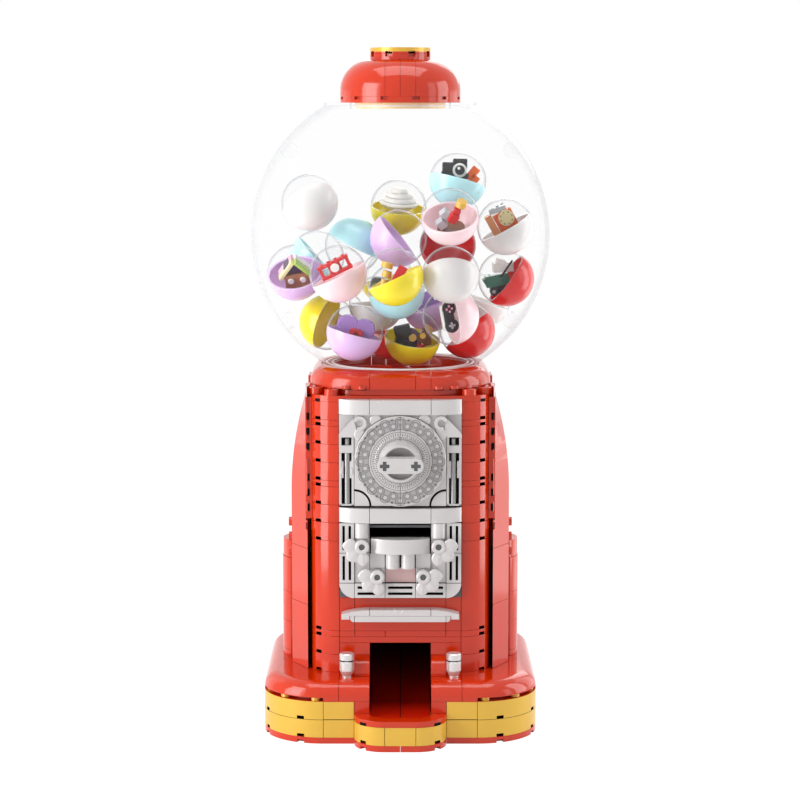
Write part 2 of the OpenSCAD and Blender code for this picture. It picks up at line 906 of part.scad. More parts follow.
module face_trim() {
    z3 = z_face + 3 * pitch;
    z2 = z_face + 2 * pitch;
    bumper_r = slot_w / 2 - 0.6;
    bumper_out = 5.5;
    color(silver) {
        // Half-round posts beside the slot
        both_sides() intersection() {
            translate([2.5 * pitch, y_face + 1.6, z_slot + tile_gap])
                cylinder(r = pitch / 2 - tile_gap, h = pitch - brick_gap, $fn = 48);
            span([0, 40], [y_face - 4, y_wall], [z_slot, z_slot + pitch]);
        }
        both_sides() span([slot_w / 2 + tile_gap, 3 * pitch - tile_gap], [y_face + 1.7, y_wall],
                          [z_slot + tile_gap, z_slot + pitch - tile_gap]);
        // Bowed bumper below the slot
        translate([0, 0, z3 + tile_gap]) linear_extrude(pitch - brick_gap) intersection() {
            translate([-bumper_r, y_face - bumper_out]) square([2 * bumper_r, bumper_out + face_t]);
            translate([0, y_face - bumper_out]) scale([1, 0.72]) translate([0, 20]) circle(20);
        }
        // Round posts below the bumper
        both_sides() translate([pitch / 2, y_wall - pitch / 2, z2 + tile_gap])
            cylinder(d = pitch - 0.6, h = pitch - brick_gap, $fn = 48);
        // Pins that the wing nuts turn on
        both_sides() for (at = nut_places)
            translate([at[0], y_face + 0.8, z_face + at[1]]) rotate([90, 0, 0])
                cylinder(d = nut_pin_d, h = nut_t + run_gap - 0.6 + 0.8, $fn = 32);
    }
    color(dark_grey) {
        // Guide bar inside the coin slot
        span([-slot_w / 2 + 0.1, slot_w / 2 - 0.1], [y_wall - 1, y_wall + 3],
             [z_slot + pitch - 3, z_slot + pitch - 1.6]);
        // Square corners behind the face's round corners
        both_sides() translate([0, y_wall - 0.05, z_face]) rotate([90, 0, 0])
            linear_extrude(1.6) difference() {
                translate([face_half - pitch + tile_gap, 0]) square([pitch - brick_gap, pitch / 2]);
                translate([face_half - pitch, pitch]) circle(pitch + brick_gap);
            }
    }
}

// Bracket, arm, block and rod beside the dial
module face_linkage() {
    rod_x = face_half - 4.4;
    rail = 1.2;
    x_in = face_half - pitch + tile_gap;
    x_out = face_half - tile_gap;
    z_block = z_upper + 28;
    z_window = z_block + 9;
    eye = [21.6, z_upper + 43];
    // Slotted frame and rod
    for (x = [x_in, x_out - rail])
        span([x, x + rail], [y_face + 0.4, y_wall], [z_upper, z_block]);
    span([x_in, x_out], [y_wall - 0.8, y_wall], [z_upper, z_upper + 6 * pitch]);
    translate([rod_x, y_face + 1.6, z_upper + 0.1])
        cylinder(d = 3.1, h = z_block - z_upper, $fn = 32);
    // Block and the window above it
    span([x_in, x_out], [y_face - 0.4, y_wall], [z_block, z_block + 4]);
    for (x = [x_in, x_out - 1.4])
        span([x, x + 1.4], [y_face - 0.4, y_wall], [z_block + 3, z_window]);
    translate([rod_x, y_face + 1.8, z_block + 3.9]) cylinder(d = 3.1, h = 5.2, $fn = 32);
    // Slanted arm
    translate([0, y_face - 0.05, 0]) rotate([90, 0, 0]) linear_extrude(1.4) polygon([
        [x_in + 0.2, z_window - 1], [x_out, z_window - 1], [x_out, z_window + 1.4],
        [eye[0] + 3.4, eye[1] + 4.6], [eye[0] + 0.8, eye[1] + 4.6], [eye[0] + 1.4, eye[1] - 2]]);
    // Eye with its hole
    translate([0, y_face - 0.2, 0]) rotate([90, 0, 0]) linear_extrude(2.4) difference() {
        union() {
            translate(eye) circle(3.9, $fn = 48);
            translate([eye[0] - 0.4, eye[1] - 0.6]) square([4, 5.2]);
        }
        translate(eye) circle(1.6, $fn = 32);
    }
}

module face_linkages() {
    color(silver) both_sides() face_linkage();
}

// Lens-shaped lobe of a wing nut that points along +X
module nut_lobe() {
    long = nut_reach;
    half_w = 3.7;
    bow = (long * long / 4 + half_w * half_w) / (2 * half_w);
    intersection() {
        translate([long / 2, bow - half_w]) circle(bow);
        translate([long / 2, half_w - bow]) circle(bow);
    }
}

// Wing nut seen from the front: a drilled hub and three lobes, at the origin
module nut_shape() {
    hub_r = 3.8;
    lobe_t = 2.4;
    lobe_back = 2.4;
    rotate([90, 0, 0]) difference() {
        union() {
            cylinder(r = hub_r, h = nut_t, $fn = 48);
            translate([0, 0, lobe_back]) linear_extrude(lobe_t)
                for (turn = [176, 225, 274]) rotate(turn) nut_lobe();
        }
        translate([0, 0, -1]) cylinder(r = nut_pin_d / 2 + run_fit, h = nut_t + 2, $fn = 48);
    }
}

module wing_nut(place) {
    translate([-place[0], y_nut, z_face + place[1]]) nut_shape();
}

module wing_nut_upper_left() {
    color(silver) wing_nut(nut_places[0]);
}

module wing_nut_upper_right() {
    color(silver) mirror([1, 0, 0]) wing_nut(nut_places[0]);
}

module wing_nut_lower_left() {
    color(silver) wing_nut(nut_places[1]);
}

module wing_nut_lower_right() {
    color(silver) mirror([1, 0, 0]) wing_nut(nut_places[1]);
}

// ---------------------------------------------------------------- dial and drive

// Right half of the dial's disc, with a raised edge and an inner ring
module dial_half() {
    r = dial_d / 2;
    ring = 0.5;
    intersection() {
        translate([0, y_dial_back, dial_z]) rotate([90, 0, 0]) rotate_extrude() polygon([
            [axle_d / 2 + fit_gap, 0], [r, 0], [r, dial_t - 0.3], [r - 0.3, dial_t],
            [r - 1.6, dial_t], [r - 1.9, dial_t - ring], [13.4, dial_t - ring], [13, dial_t],
            [axle_d / 2 + fit_gap, dial_t]]);
        span([tile_gap, r + 1], [y_disc - 1, y_dial_back + 1], [dial_z - r - 1, dial_z + r + 1]);
    }
}

module dial_right_half() {
    color(silver) dial_half();
}

module dial_left_half() {
    color(silver) mirror([1, 0, 0]) dial_half();
}

module dial_hub() {
    floor_t = 2;
    color(silver) translate([0, y_disc - 0.02, dial_z]) rotate([90, 0, 0])
        rotate_extrude() polygon([
            [axle_d / 2 + fit_gap, 0], [hub_base_r, 0], [hub_base_r, 1.2],
            [hub_rim_r, hub_t - 0.04], [hub_hole_r, hub_t - 0.04], [hub_hole_r, floor_t],
            [axle_d / 2 + fit_gap, floor_t]]);
}

module cross_section(d, arm) {
    square([d, arm], center = true);
    square([arm, d], center = true);
}

pin_d = 4.8;
pin_arm = 1.8;
pin_x = pitch;
axle_blind = 4;

module dial_handle() {
    color(silver) translate([0, y_hub, dial_z]) rotate([90, 0, 0]) difference() {
        linear_extrude(handle_t) difference() {
            union() {
                square([handle_l - handle_w, handle_w], center = true);
                for (sx = [-1, 1])
                    translate([sx * (handle_l - handle_w) / 2, 0]) circle(handle_w / 2);
            }
            for (sx = [-1, 1]) translate([sx * pin_x, 0])
                cross_section(pin_d + 2 * fit_gap, pin_arm + 2 * fit_gap);
        }
        translate([0, 0, -eps]) cylinder(r = axle_d / 2 + fit_gap, h = axle_blind + 0.3, $fn = 48);
    }
}

module dial_pins() {
    color(dark_grey) for (sx = [-1, 1])
        translate([sx * pin_x, y_hub - 0.1, dial_z]) rotate([90, 0, 0])
            linear_extrude(handle_t - 0.5) cross_section(pin_d, pin_arm);
}

module dial_axle() {
    y0 = y_hub - axle_blind;
    color(dark_grey) translate([0, y0, dial_z]) rotate([-90, 0, 0])
        cylinder(d = axle_d, h = -y0 - 4, $fn = 48);
}

// Bevel gear with its cone's tip at the origin and its shaft along -Z
module bevel_gear() {
    slant = 45;
    tip = gear_addendum * cos(slant);
    z_out = gear_r - tip;
    z_in = z_out - gear_face * cos(slant) - tip;
    tip_angle = slant + atan(gear_addendum / (gear_r * sqrt(2)));
    root_angle = slant - atan(1.3 * gear_addendum / (gear_r * sqrt(2)));
    difference() {
        union() {
            translate([0, 0, -z_out - 1]) cylinder(r = z_out * tan(root_angle) - 0.2, h = 1.01);
            translate([0, 0, -z_out]) cylinder(r1 = z_out * tan(tip_angle),
                                               r2 = z_in * tan(tip_angle), h = z_out - z_in);
            translate([0, 0, -z_out - gear_hub]) cylinder(r = axle_d / 2 + 1.5, h = gear_hub + 0.1);
        }
        for (i = [0 : teeth - 1])
            rotate([0, 0, (i + 0.5) * 360 / teeth]) rotate([0, 180 - root_angle, 0])
                translate([0, 0, -1]) rotate([0, 0, 90]) linear_extrude(gear_r * 2)
                    polygon([[-0.62, 0], [0.62, 0], [1.75, 3], [-1.75, 3]]);
        translate([0, 0, -gear_r * 2]) cylinder(r = axle_d / 2 + fit_gap, h = gear_r * 2, $fn = 48);
    }
}

module dial_gear() {
    color(dark_grey) translate([0, 0, dial_z]) rotate([-90, 0, 0]) bevel_gear();
}

module rotor_gear() {
    color(dark_grey) translate([0, 0, dial_z]) rotate([180, 0, 0])
        rotate([0, 0, 180 / teeth]) bevel_gear();
}

module rotor_shaft() {
    z0 = dial_z + 4;
    color(dark_grey) translate([0, 0, z0])
        cylinder(d = axle_d, h = z_rotor + rotor_t - 2 - z0, $fn = 48);
}

module rotor() {
    dish = 2.4;
    color(red) translate([0, 0, z_rotor]) difference() {
        rotate_extrude() polygon([
            [0, 0], [rotor_r, 0], [rotor_r, rotor_t - dish - 0.4], [rotor_r - 0.4, rotor_t - dish],
            [6, rotor_t], [0, rotor_t]]);
        for (sx = [-1, 1]) translate([sx * pocket_at, 0, -1]) cylinder(r = pocket_r, h = rotor_t + 2);
        translate([0, 0, -1]) cylinder(r = axle_d / 2 + fit_gap, h = rotor_t - 1 + eps, $fn = 48);
    }
}

module bearing_beams() {
    x1 = inner_half - 0.1;
    color(dark_grey) {
        difference() {
            span([-x1, x1], [-24, -24 + beam_w], [dial_z - pitch / 2, dial_z + pitch / 2]);
            translate([0, -30, dial_z]) rotate([-90, 0, 0]) cylinder(r = bore_r, h = 20, $fn = 48);
        }
        difference() {
            span([-x1, x1], [3.4 - pitch, 3.4], [z_floor - 14, z_floor - 14 + beam_w]);
            translate([0, 0, z_floor - 20]) cylinder(r = bore_r, h = 20, $fn = 48);
        }
    }
}

module coin_box() {
    x1 = 20;
    y = [-inner_half + 0.2, -8];
    z = [z_face + 5, z_slot - 6];
    t = 1.6;
    color(dark_grey) {
        difference() {
            span([-x1, x1], y, z);
            span([-x1 + t, x1 - t], [y[0] + t, y[1] - t], [z[0] + t, z[1] + 1]);
        }
        // Shelf under the box, from side wall to side wall
        span([-inner_half + 0.1, inner_half - 0.1], [-column_in + 0.3, y[1]],
             [z[0] - plate_h, z[0] - 0.05]);
    }
}

// ---------------------------------------------------------------- globe and lid

lug_r = globe_r - 5.4;
lug_turn = 37.5;

// Outline of the globe's wall to be turned round its axis
module globe_profile() {
    top = z_globe_top - globe_zc;
    difference() {
        intersection() {
            circle(globe_r);
            translate([0, -top]) square([globe_r, 2 * top]);
        }
        intersection() {
            circle(globe_r - globe_wall);
            translate([-1, -top - 1]) square([globe_r, 2 * top + 1 - globe_wall]);
        }
        translate([-1, top - globe_wall - 1]) square([fill_d / 2 + 1, globe_wall + 2]);
    }
}

module globe_lug(turn, depth) {
    rotate([0, -turn, 0]) translate([lug_r, 0, 0]) rotate([90, 0, 0])
        cylinder(r = 4.4, h = depth, $fn = 48);
}

module globe_shell() {
    lug_d = 6;
    translate([0, 0, globe_zc]) {
        intersection() {
            rotate_extrude($fn = 128) globe_profile();
            translate([-globe_r - 1, -globe_r - 1, -globe_r - 1])
                cube([2 * globe_r + 2, globe_r + 1 - tile_gap, 2 * globe_r + 2]);
        }
        translate([0, -tile_gap, 0]) for (turn = [lug_turn, -lug_turn, 180 - lug_turn, 180 + lug_turn])
            globe_lug(turn, lug_d);
    }
}

module globe_front() {
    color(clear) globe_shell();
}

module globe_rear() {
    color(clear) mirror([0, 1, 0]) globe_shell();
}

module globe_collar() {
    color(clear) translate([0, 0, z_globe_top]) difference() {
        cylinder(r = neck_r + 0.6, h = collar_h - 0.05);
        translate([0, 0, -1]) cylinder(r = fill_d / 2, h = collar_h + 2);
    }
}

// Tabs round the edge of the lid's plate
module rim_tabs(r, z, h, count) {
    for (i = [0 : count - 1])
        rotate([0, 0, (i + 0.5) * 360 / count])
            translate([r - 1.4, -notch_w / 2, z]) cube([2.4, notch_w, h]);
}

module lid_plates() {
    color(red) {
        difference() {
            translate([0, 0, z_lid]) cylinder(r = lid_r, h = plate_h - 0.05);
            rim_tabs(lid_r, z_lid + plate_h - notch_h, notch_h, 12);
        }
        difference() {
            translate([0, 0, z_cap + 0.05]) cylinder(r = cap_r, h = plate_h - 0.1);
            rim_tabs(cap_r, z_cap + plate_h - notch_h, notch_h, 8);
        }
    }
}

module lid_dome() {
    edge = min(16, dome_h - 2);
    wall = 2.4;
    color(red) translate([0, 0, z_dome]) difference() {
        rotate_extrude($fn = 128) union() {
            square([lid_r - edge, dome_h]);
            square([lid_r, dome_h - edge]);
            intersection() {
                translate([lid_r - edge, dome_h - edge]) circle(edge);
                square([lid_r, dome_h]);
            }
        }
        translate([0, 0, -1]) cylinder(r = cap_r + 4, h = dome_h - wall + 1);
    }
}

module lid_gold_plates() {
    color(gold) {
        translate([0, 0, z_lid - plate_h]) difference() {
            cylinder(d = plug_d, h = plate_h - 0.02);
            translate([0, 0, -1]) cylinder(d = plug_d - 16, h = plate_h + 2);
        }
        difference() {
            translate([0, 0, z_gold]) cylinder(r = cap_r, h = plate_h);
            rim_tabs(cap_r, z_gold - eps, 1.4, 8);
        }
    }
}

// ---------------------------------------------------------------- capsules

// Each capsule: place [x, y, height above the rotor], then the way its clear half leans,
// as degrees clockwise from upright and degrees towards the front, and the toy inside.
white_capsules = [
    [[-47, -37, 90], [-30, -35], "none"],
    [[55, -29, 77], [-29, 3], "radio"],
    [[26, -50.5, 53.5], [0, -40], "none"],
    [[-13, 5.5, 33.5], [0, 0], "none"],
    [[45.5, 22.5, 34], [20, 0], "none"]];
yellow_capsules = [
    [[-1, -10, 86.3], [5, 12], "saucer"],
    [[-3, -60, 53], [-25, 0], "burger"],
    [[-39.5, -5, 24.5], [110, 20], "none"],
    [[6.5, -12.5, 17], [8, 15], "player"],
    [[-7.5, 33, 45.5], [-15, 0], "none"]];
blue_capsules = [
    [[30, -31.9, 101.2], [15, -8], "camera"],
    [[-25, -18.9, 66.6], [207, 0], "none"],
    [[-45, 5, 58.5], [50, 0], "none"],
    [[-2, -26, 43], [-10, 0], "none"],
    [[16, 45, 30], [10, 0], "none"]];
purple_capsules = [
    [[-55.5, -22.5, 52.5], [-8, 32], "house"],
    [[-1, -36.5, 71.5], [51, 5], "none"],
    [[-24, -30.5, 21.5], [15, 0], "heart"],
    [[16, 15, 32], [-20, 0], "lattice"]];
pink_capsules = [
    [[25.5, -56, 83.5], [-5, 30], "gems"],
    [[-32, -51.5, 54], [-26, 3], "lattice"],
    [[26.5, -32, 30], [-100, 15], "controller"],
    [[-34, 25.5, 25], [30, 0], "none"]];
red_capsules = [
    [[25, -22, 67], [0, 50], "none"],
    [[56, -17.5, 49], [-54, 5], "truck"],
    [[36, -5, 20], [-40, -10], "none"],
    [[-5, 29, 15.5], [0, 0], "none"]];
all_capsules = concat(white_capsules, yellow_capsules, blue_capsules, purple_capsules,
    pink_capsules, red_capsules);
pile_d = 29.8;
z_pile = z_rotor + rotor_t;
cup_r = capsule_r - capsule_wall;

// Children are placed in a capsule's own frame: open face level, clear half up
module at_capsule(c) {
    k = capsule_d / pile_d;
    place = c[0];
    lean = c[1];
    translate([place[0] * k, place[1] * k, z_pile + place[2] * k])
        rotate([0, lean[0], 0]) rotate([lean[1], 0, 0]) children();
}

module half_shell() {
    rotate_extrude($fn = 48) difference() {
        intersection() {
            circle(capsule_r);
            translate([0, 0.05]) square(capsule_r);
        }
        circle(cup_r);
    }
}

module cups(list) {
    for (c = list) at_capsule(c) mirror([0, 0, 1]) half_shell();
}

module capsule_clear_halves() {
    color(clear) for (c = all_capsules) at_capsule(c) half_shell();
}

module capsule_cups_white() {
    color("#f2f1ef") cups(white_capsules);
}

module capsule_cups_yellow() {
    color("#f4dc1c") cups(yellow_capsules);
}

module capsule_cups_blue() {
    color("#9fdbe6") cups(blue_capsules);
}

module capsule_cups_purple() {
    color("#d6b3e2") cups(purple_capsules);
}

module capsule_cups_pink() {
    color("#f2bcc4") cups(pink_capsules);
}

module capsule_cups_red() {
    color("#d8201c") cups(red_capsules);
}

toy_floor = 9.6;

// Small brick-built toy that stands in its cup
module toy(kind) {
    base_r = sqrt(cup_r * cup_r - toy_floor * toy_floor) - 0.4;
    if (kind != "none") translate([0, 0, -toy_floor]) {
        cylinder(r = base_r, h = 2, $fn = 32);
        if (kind == "saucer") {
            cylinder(r = 3, h = 9, $fn = 24);
            translate([0, 0, 8.9]) cylinder(r1 = 6, r2 = 11.4, h = 3, $fn = 32);
            translate([0, 0, 11.8]) cylinder(r1 = 6.4, r2 = 4, h = 5, $fn = 32);
        }
        if (kind == "camera") {
            translate([-7.5, -3, 1.9]) cube([15, 6, 13]);
            translate([0, -2.9, 12]) rotate([90, 0, 0]) cylinder(r = 3.9, h = 3, $fn = 32);
            translate([-3, -2, 14.8]) cube([6, 4, 2.4]);
        }
        if (kind == "gems") {
            translate([-7, -4, 1.9]) cube([6, 6, 8]);
            translate([1.5, -2, 1.9]) cylinder(r = 4, h = 9, $fn = 6);
            translate([4, 2, 10.8]) cylinder(r = 2.4, h = 3, $fn = 24);
        }
        if (kind == "radio") {
            translate([-6.5, -3, 1.9]) cube([13, 6, 13]);
            translate([3, -2.9, 9]) rotate([90, 0, 0]) cylinder(r = 3.6, h = 1.5, $fn = 32);
        }
        if (kind == "house") {
            translate([-6, -4, 1.9]) cube([12, 8, 9]);
            translate([0, 4.6, 10.8]) rotate([90, 0, 0]) linear_extrude(9.2)
                polygon([[-8, 0], [8, 0], [0, 6.6]]);
        }
        if (kind == "lattice") {
            translate([-8, -3.4, 1.9]) cube([16, 6.8, 10]);
            translate([-8, -3.4, 12.6]) cube([16, 6.8, 2]);
            for (x = [-7, -1, 5]) translate([x, -2.4, 11.8]) cube([2, 4.8, 0.9]);
        }
        if (kind == "truck") {
            translate([-7.5, -3.6, 1.9]) cube([15, 7.2, 7]);
            translate([-6, -3, 8.8]) cube([8, 6, 5]);
            translate([6.6, 0, 5]) cylinder(d = 1.2, h = 11, $fn = 16);
        }
        if (kind == "heart") {
            translate([-8, -3.6, 1.9]) cube([16, 7.2, 12.6]);
            translate([0, -3.5, 8]) rotate([90, 0, 0]) cylinder(r = 3.4, h = 1.4, $fn = 32);
        }
        if (kind == "player") {
            translate([-7, -4.6, 1.9]) cube([14, 9.2, 5.5]);
            translate([0, 0, 7.3]) cylinder(r = 4, h = 0.8, $fn = 32);
            translate([4, 2, 7.3]) cylinder(r1 = 1, r2 = 4.4, h = 6, $fn = 32);
        }
        if (kind == "controller") {
            for (x = [-5, 5]) translate([x, 0, 9]) rotate([90, 0, 0])
                translate([0, 0, -1.8]) cylinder(r = 3.8, h = 3.6, $fn = 32);
            translate([-5, -1.7, 1.9]) cube([10, 3.4, 10]);
        }
        if (kind == "burger") {
            translate([0, 0, 1.9]) cylinder(r = 8, h = 3, $fn = 32);
            translate([0, 0, 4.8]) cylinder(r = 8.8, h = 2.6, $fn = 32);
            translate([0, 0, 7.3]) cylinder(r1 = 8, r2 = 5, h = 5, $fn = 32);
        }
    }
}

module capsule_toys() {
    color("#8c5a3c") for (c = all_capsules) at_capsule(c) toy(c[2]);
}

// ---------------------------------------------------------------- nodes

base_plate();
tray_plate();
gold_band_lower();
gold_band_upper();
tray_gold_band();
tray_rim();
base_deck();
chute_ramp();
chute_walls();
drop_channel();
guard_posts();
front_column_left();
front_column_right();
rear_columns();
lower_front_wall();
hood_bar();
front_wall();
side_walls();
rear_wall();
front_wings();
rear_wings();
side_ribs();
floor_plate();
ledge_ring();
shoulder();
face_panel_lower();
face_panel_upper();
face_bands();
face_trim();
face_linkages();
dial_left_half();
dial_right_half();
dial_hub();
dial_handle();
dial_pins();
dial_axle();
dial_gear();
rotor_gear();
rotor_shaft();
rotor();
bearing_beams();
coin_box();
wing_nut_upper_left();
wing_nut_upper_right();
wing_nut_lower_left();
wing_nut_lower_right();
globe_front();
globe_rear();
globe_collar();
lid_plates();
lid_dome();
lid_gold_plates();
capsule_clear_halves();
capsule_cups_white();
capsule_cups_yellow();
capsule_cups_blue();
capsule_cups_purple();
capsule_cups_pink();
capsule_cups_red();
capsule_toys();
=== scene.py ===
# %% [markdown]
# A gumball machine put together from interlocking toy bricks. Its solids come in as a fixed
# frame that already has the right sizes, and this notebook dresses each of them: bricks get
# worn-soft edges and moulded plastic, the globe and the capsules become clear shells, and the
# small trim gets shapes that the frame only blocks out.

# %% Load the frame and note its size
import json
from math import asin, atan2, copysign, cos, degrees, pi, radians, sin, sqrt
import bmesh
import bpy
from mathutils import Matrix, Vector


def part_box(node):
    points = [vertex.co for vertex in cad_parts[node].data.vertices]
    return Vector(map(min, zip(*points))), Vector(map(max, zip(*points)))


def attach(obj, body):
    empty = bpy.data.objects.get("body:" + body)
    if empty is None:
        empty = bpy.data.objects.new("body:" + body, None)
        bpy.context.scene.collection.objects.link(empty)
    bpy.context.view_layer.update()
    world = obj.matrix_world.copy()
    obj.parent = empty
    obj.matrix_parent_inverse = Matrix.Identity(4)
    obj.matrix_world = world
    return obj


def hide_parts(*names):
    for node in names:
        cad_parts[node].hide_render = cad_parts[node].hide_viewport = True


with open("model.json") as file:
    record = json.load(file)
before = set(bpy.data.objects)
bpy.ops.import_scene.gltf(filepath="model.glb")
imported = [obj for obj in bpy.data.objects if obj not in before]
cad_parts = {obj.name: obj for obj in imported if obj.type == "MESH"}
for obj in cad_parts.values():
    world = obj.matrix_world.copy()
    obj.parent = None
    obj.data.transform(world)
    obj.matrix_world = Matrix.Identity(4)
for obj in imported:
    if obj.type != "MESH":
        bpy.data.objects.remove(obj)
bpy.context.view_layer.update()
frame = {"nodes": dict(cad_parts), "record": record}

nodes = frame["nodes"]
print("frame with", len(nodes), "solids")

# %% [markdown]
# The machine is seen from the front through a long lens, a little from above. A long lens keeps
# the round globe round, and the tilt shows the top faces of the deck and of the tray.

# %% Camera
LENS_MM = 104.3
EYE = Vector((0, -1.244, 0.332))
TILT_DOWN = 7.38

camera_data = bpy.data.cameras.new("camera")
camera_data.lens = LENS_MM
camera_data.sensor_width = 36
camera_data.shift_x = -0.0004
camera = bpy.data.objects.new("camera", camera_data)
camera.location = EYE
camera.rotation_euler = (radians(90 - TILT_DOWN), 0, 0)
bpy.context.scene.collection.objects.link(camera)
bpy.context.scene.camera = camera
bpy.context.scene.view_settings.view_transform = "Standard"
print("camera at", tuple(EYE))

# %% [markdown]
# Node trees need the same few things again and again: a node with its settings, fed with numbers
# or with other nodes' sockets, a sum, and the question what kind of ray has come.

# %% Helpers for node trees
def feed(nt, node, inputs):
    """Sets a node's inputs to constants, or links them to the sockets that feed them."""
    for name, value in inputs.items():
        if isinstance(value, bpy.types.NodeSocket):
            nt.links.new(value, node.inputs[name])
        else:
            node.inputs[name].default_value = value


def add_node(nt, kind, inputs=None, **settings):
    node = nt.nodes.new("ShaderNode" + kind)
    for name, value in settings.items():
        setattr(node, name, value)
    feed(nt, node, inputs or {})
    return node


def math_node(nt, operation, *values):
    """The output of a math node that works on numbers or sockets."""
    return add_node(nt, "Math", dict(enumerate(values)), operation=operation).outputs[0]


def ray_is(nt, *kinds):
    """1 for a ray of one of these kinds, else 0."""
    path = add_node(nt, "LightPath")
    found = path.outputs[kinds[0]]
    for kind in kinds[1:]:
        found = math_node(nt, "MAXIMUM", found, path.outputs[kind])
    return found


def smooth_range(nt, value, start, end, first, last):
    """Goes smoothly from first to last while value goes from start to end."""
    return add_node(nt, "MapRange", {
        "Value": value, "From Min": start, "From Max": end, "To Min": first, "To Max": last},
        interpolation_type="SMOOTHSTEP").outputs["Result"]


SEEN = ("Is Camera Ray", "Is Glossy Ray", "Is Transmission Ray")
print("a ray is seen by the eye, by mirrors and through clear plastic:", SEEN)

# %% [markdown]
# Glossy plastic lives from what it mirrors. The eye looks down a little, so upright bricks mirror
# what stands low and near: tall narrow soft boxes beside the machine and behind its shoulders
# draw the long highlights on its columns and wings, a box above draws the one on its dome, and
# larger lamps further off light it softly. No lamp shows itself to the eye, so none stands in
# the way of a view.

# %% Lamps
def soft_lamp(name, place, aim, size, power):
    """A rectangular area lamp at place, turned to face aim."""
    data = bpy.data.lights.new(name, "AREA")
    data.shape = "RECTANGLE"
    data.size, data.size_y = size
    data.energy = power
    lamp = bpy.data.objects.new(name, data)
    lamp.location = place
    lamp.visible_camera = False
    lamp.rotation_euler = (Vector(aim) - Vector(place)).to_track_quat("-Z", "Y").to_euler()
    bpy.context.scene.collection.objects.link(lamp)
    print(name, "of", power, "W")


soft_lamp("left_lamp", (-1.5, -1.1, 0.62), (0, 0, 0.18), (1.0, 1.2), 6.5)
soft_lamp("right_lamp", (1.6, -0.8, 0.5), (0, 0, 0.18), (0.45, 1.2), 2.5)
soft_lamp("back_lamp", (0.3, 1.5, 0.9), (0, 0, 0.2), (0.9, 0.9), 4)
soft_lamp("top_box", (0, -0.12, 0.95), (0, 0, 0.2), (0.75, 0.5), 3.6)
soft_lamp("left_box", (-0.40, -0.235, 0.26), (-0.03, -0.03, 0.24), (0.25, 0.52), 2.0)
soft_lamp("right_box", (0.44, -0.02, 0.26), (0.03, -0.03, 0.24), (0.2, 0.52), 1.1)
soft_lamp("left_back_box", (-0.30, 0.17, 0.17), (-0.04, -0.02, 0.15), (0.17, 0.34), 0.08)
soft_lamp("right_back_box", (0.30, 0.17, 0.17), (0.04, -0.02, 0.15), (0.17, 0.34), 0.2)

# %% [markdown]
# A pale world fills the shadows. It is white only where it is seen, by the eye, in mirrors and
# through clear plastic, so it doesn't flood the colours.

# %% World
WORLD_FILL = 0.36
world = bpy.data.worlds.new("studio")
bpy.context.scene.world = world
world.use_nodes = True
tree = world.node_tree
tree.nodes.clear()
level = add_node(tree, "MapRange", {
    "Value": ray_is(tree, *SEEN), "To Min": WORLD_FILL, "To Max": 1.0})
sky = add_node(tree, "Background", {
    "Color": (1, 1, 1, 1), "Strength": level.outputs["Result"]})
add_node(tree, "OutputWorld", {"Surface": sky.outputs[0]})
print("a world of strength", WORLD_FILL)

# %% [markdown]
# The floor is a plain white sheet. Where it is seen, by the eye, in mirrors and through clear
# plastic, it glows a little, so it reads as white paper. Part of its light still comes from the
# lamps, which keeps a soft contact shadow.

# %% Floor
FLOOR_HALF = 4.0
PAPER = (0.9, 0.9, 0.9, 1)
PAPER_GLOW = 1.12
GLOW_SHARE = 0.86


def floor_paper():
    """White paper that is part matt and part glow where it is seen."""
    paper = bpy.data.materials.new("floor_paper")
    paper.use_nodes = True
    nt = paper.node_tree
    nt.nodes.clear()
    matt = add_node(nt, "BsdfDiffuse", {"Color": PAPER})
    glow = add_node(nt, "Emission", {"Color": (1, 1, 1, 1), "Strength": PAPER_GLOW})
    share = math_node(nt, "MULTIPLY", ray_is(nt, *SEEN), GLOW_SHARE)
    mix = add_node(nt, "MixShader", {"Fac": share, 1: matt.outputs[0], 2: glow.outputs[0]})
    add_node(nt, "OutputMaterial", {"Surface": mix.outputs[0]})
    return paper


bm = bmesh.new()
bmesh.ops.create_grid(bm, x_segments=1, y_segments=1, size=FLOOR_HALF)
sheet = bpy.data.meshes.new("floor")
bm.to_mesh(sheet)
bm.free()
sheet.materials.append(floor_paper())
floor = bpy.data.objects.new("floor", sheet)
bpy.context.scene.collection.objects.link(floor)
print("floor of", 2 * FLOOR_HALF, "m")

# %% [markdown]
# Moulded plastic is never one flat colour. It has faint flow clouds in its colour, skin that is
# glossier in some places than in others, and a slight ripple that bends the highlights. One
# node group makes these three for every plastic here, each with its own amounts.

# %% Node group: moulded skin
def noise_node(nt, vector, scale, detail):
    return add_node(nt, "TexNoise", {
        "Vector": vector, "Scale": scale, "Detail": detail}).outputs["Fac"]


def new_group(name, inputs, outputs):
    """A shader group with its sockets, given as (name, type, start value)."""
    group = bpy.data.node_groups.new(name, "ShaderNodeTree")
    for label, kind, value in inputs:
        socket = group.interface.new_socket(label, in_out="INPUT", socket_type=kind)
        if value is not None:
            socket.default_value = value
    for label, kind in outputs:
        group.interface.new_socket(label, in_out="OUTPUT", socket_type=kind)
    return group, group.nodes.new("NodeGroupInput"), group.nodes.new("NodeGroupOutput")


CLOUD_SCALE, PATCH_SCALE, RIPPLE_SCALE, PEEL_SCALE = 38.0, 120.0, 55.0, 900.0
PEEL_SHARE = 0.12


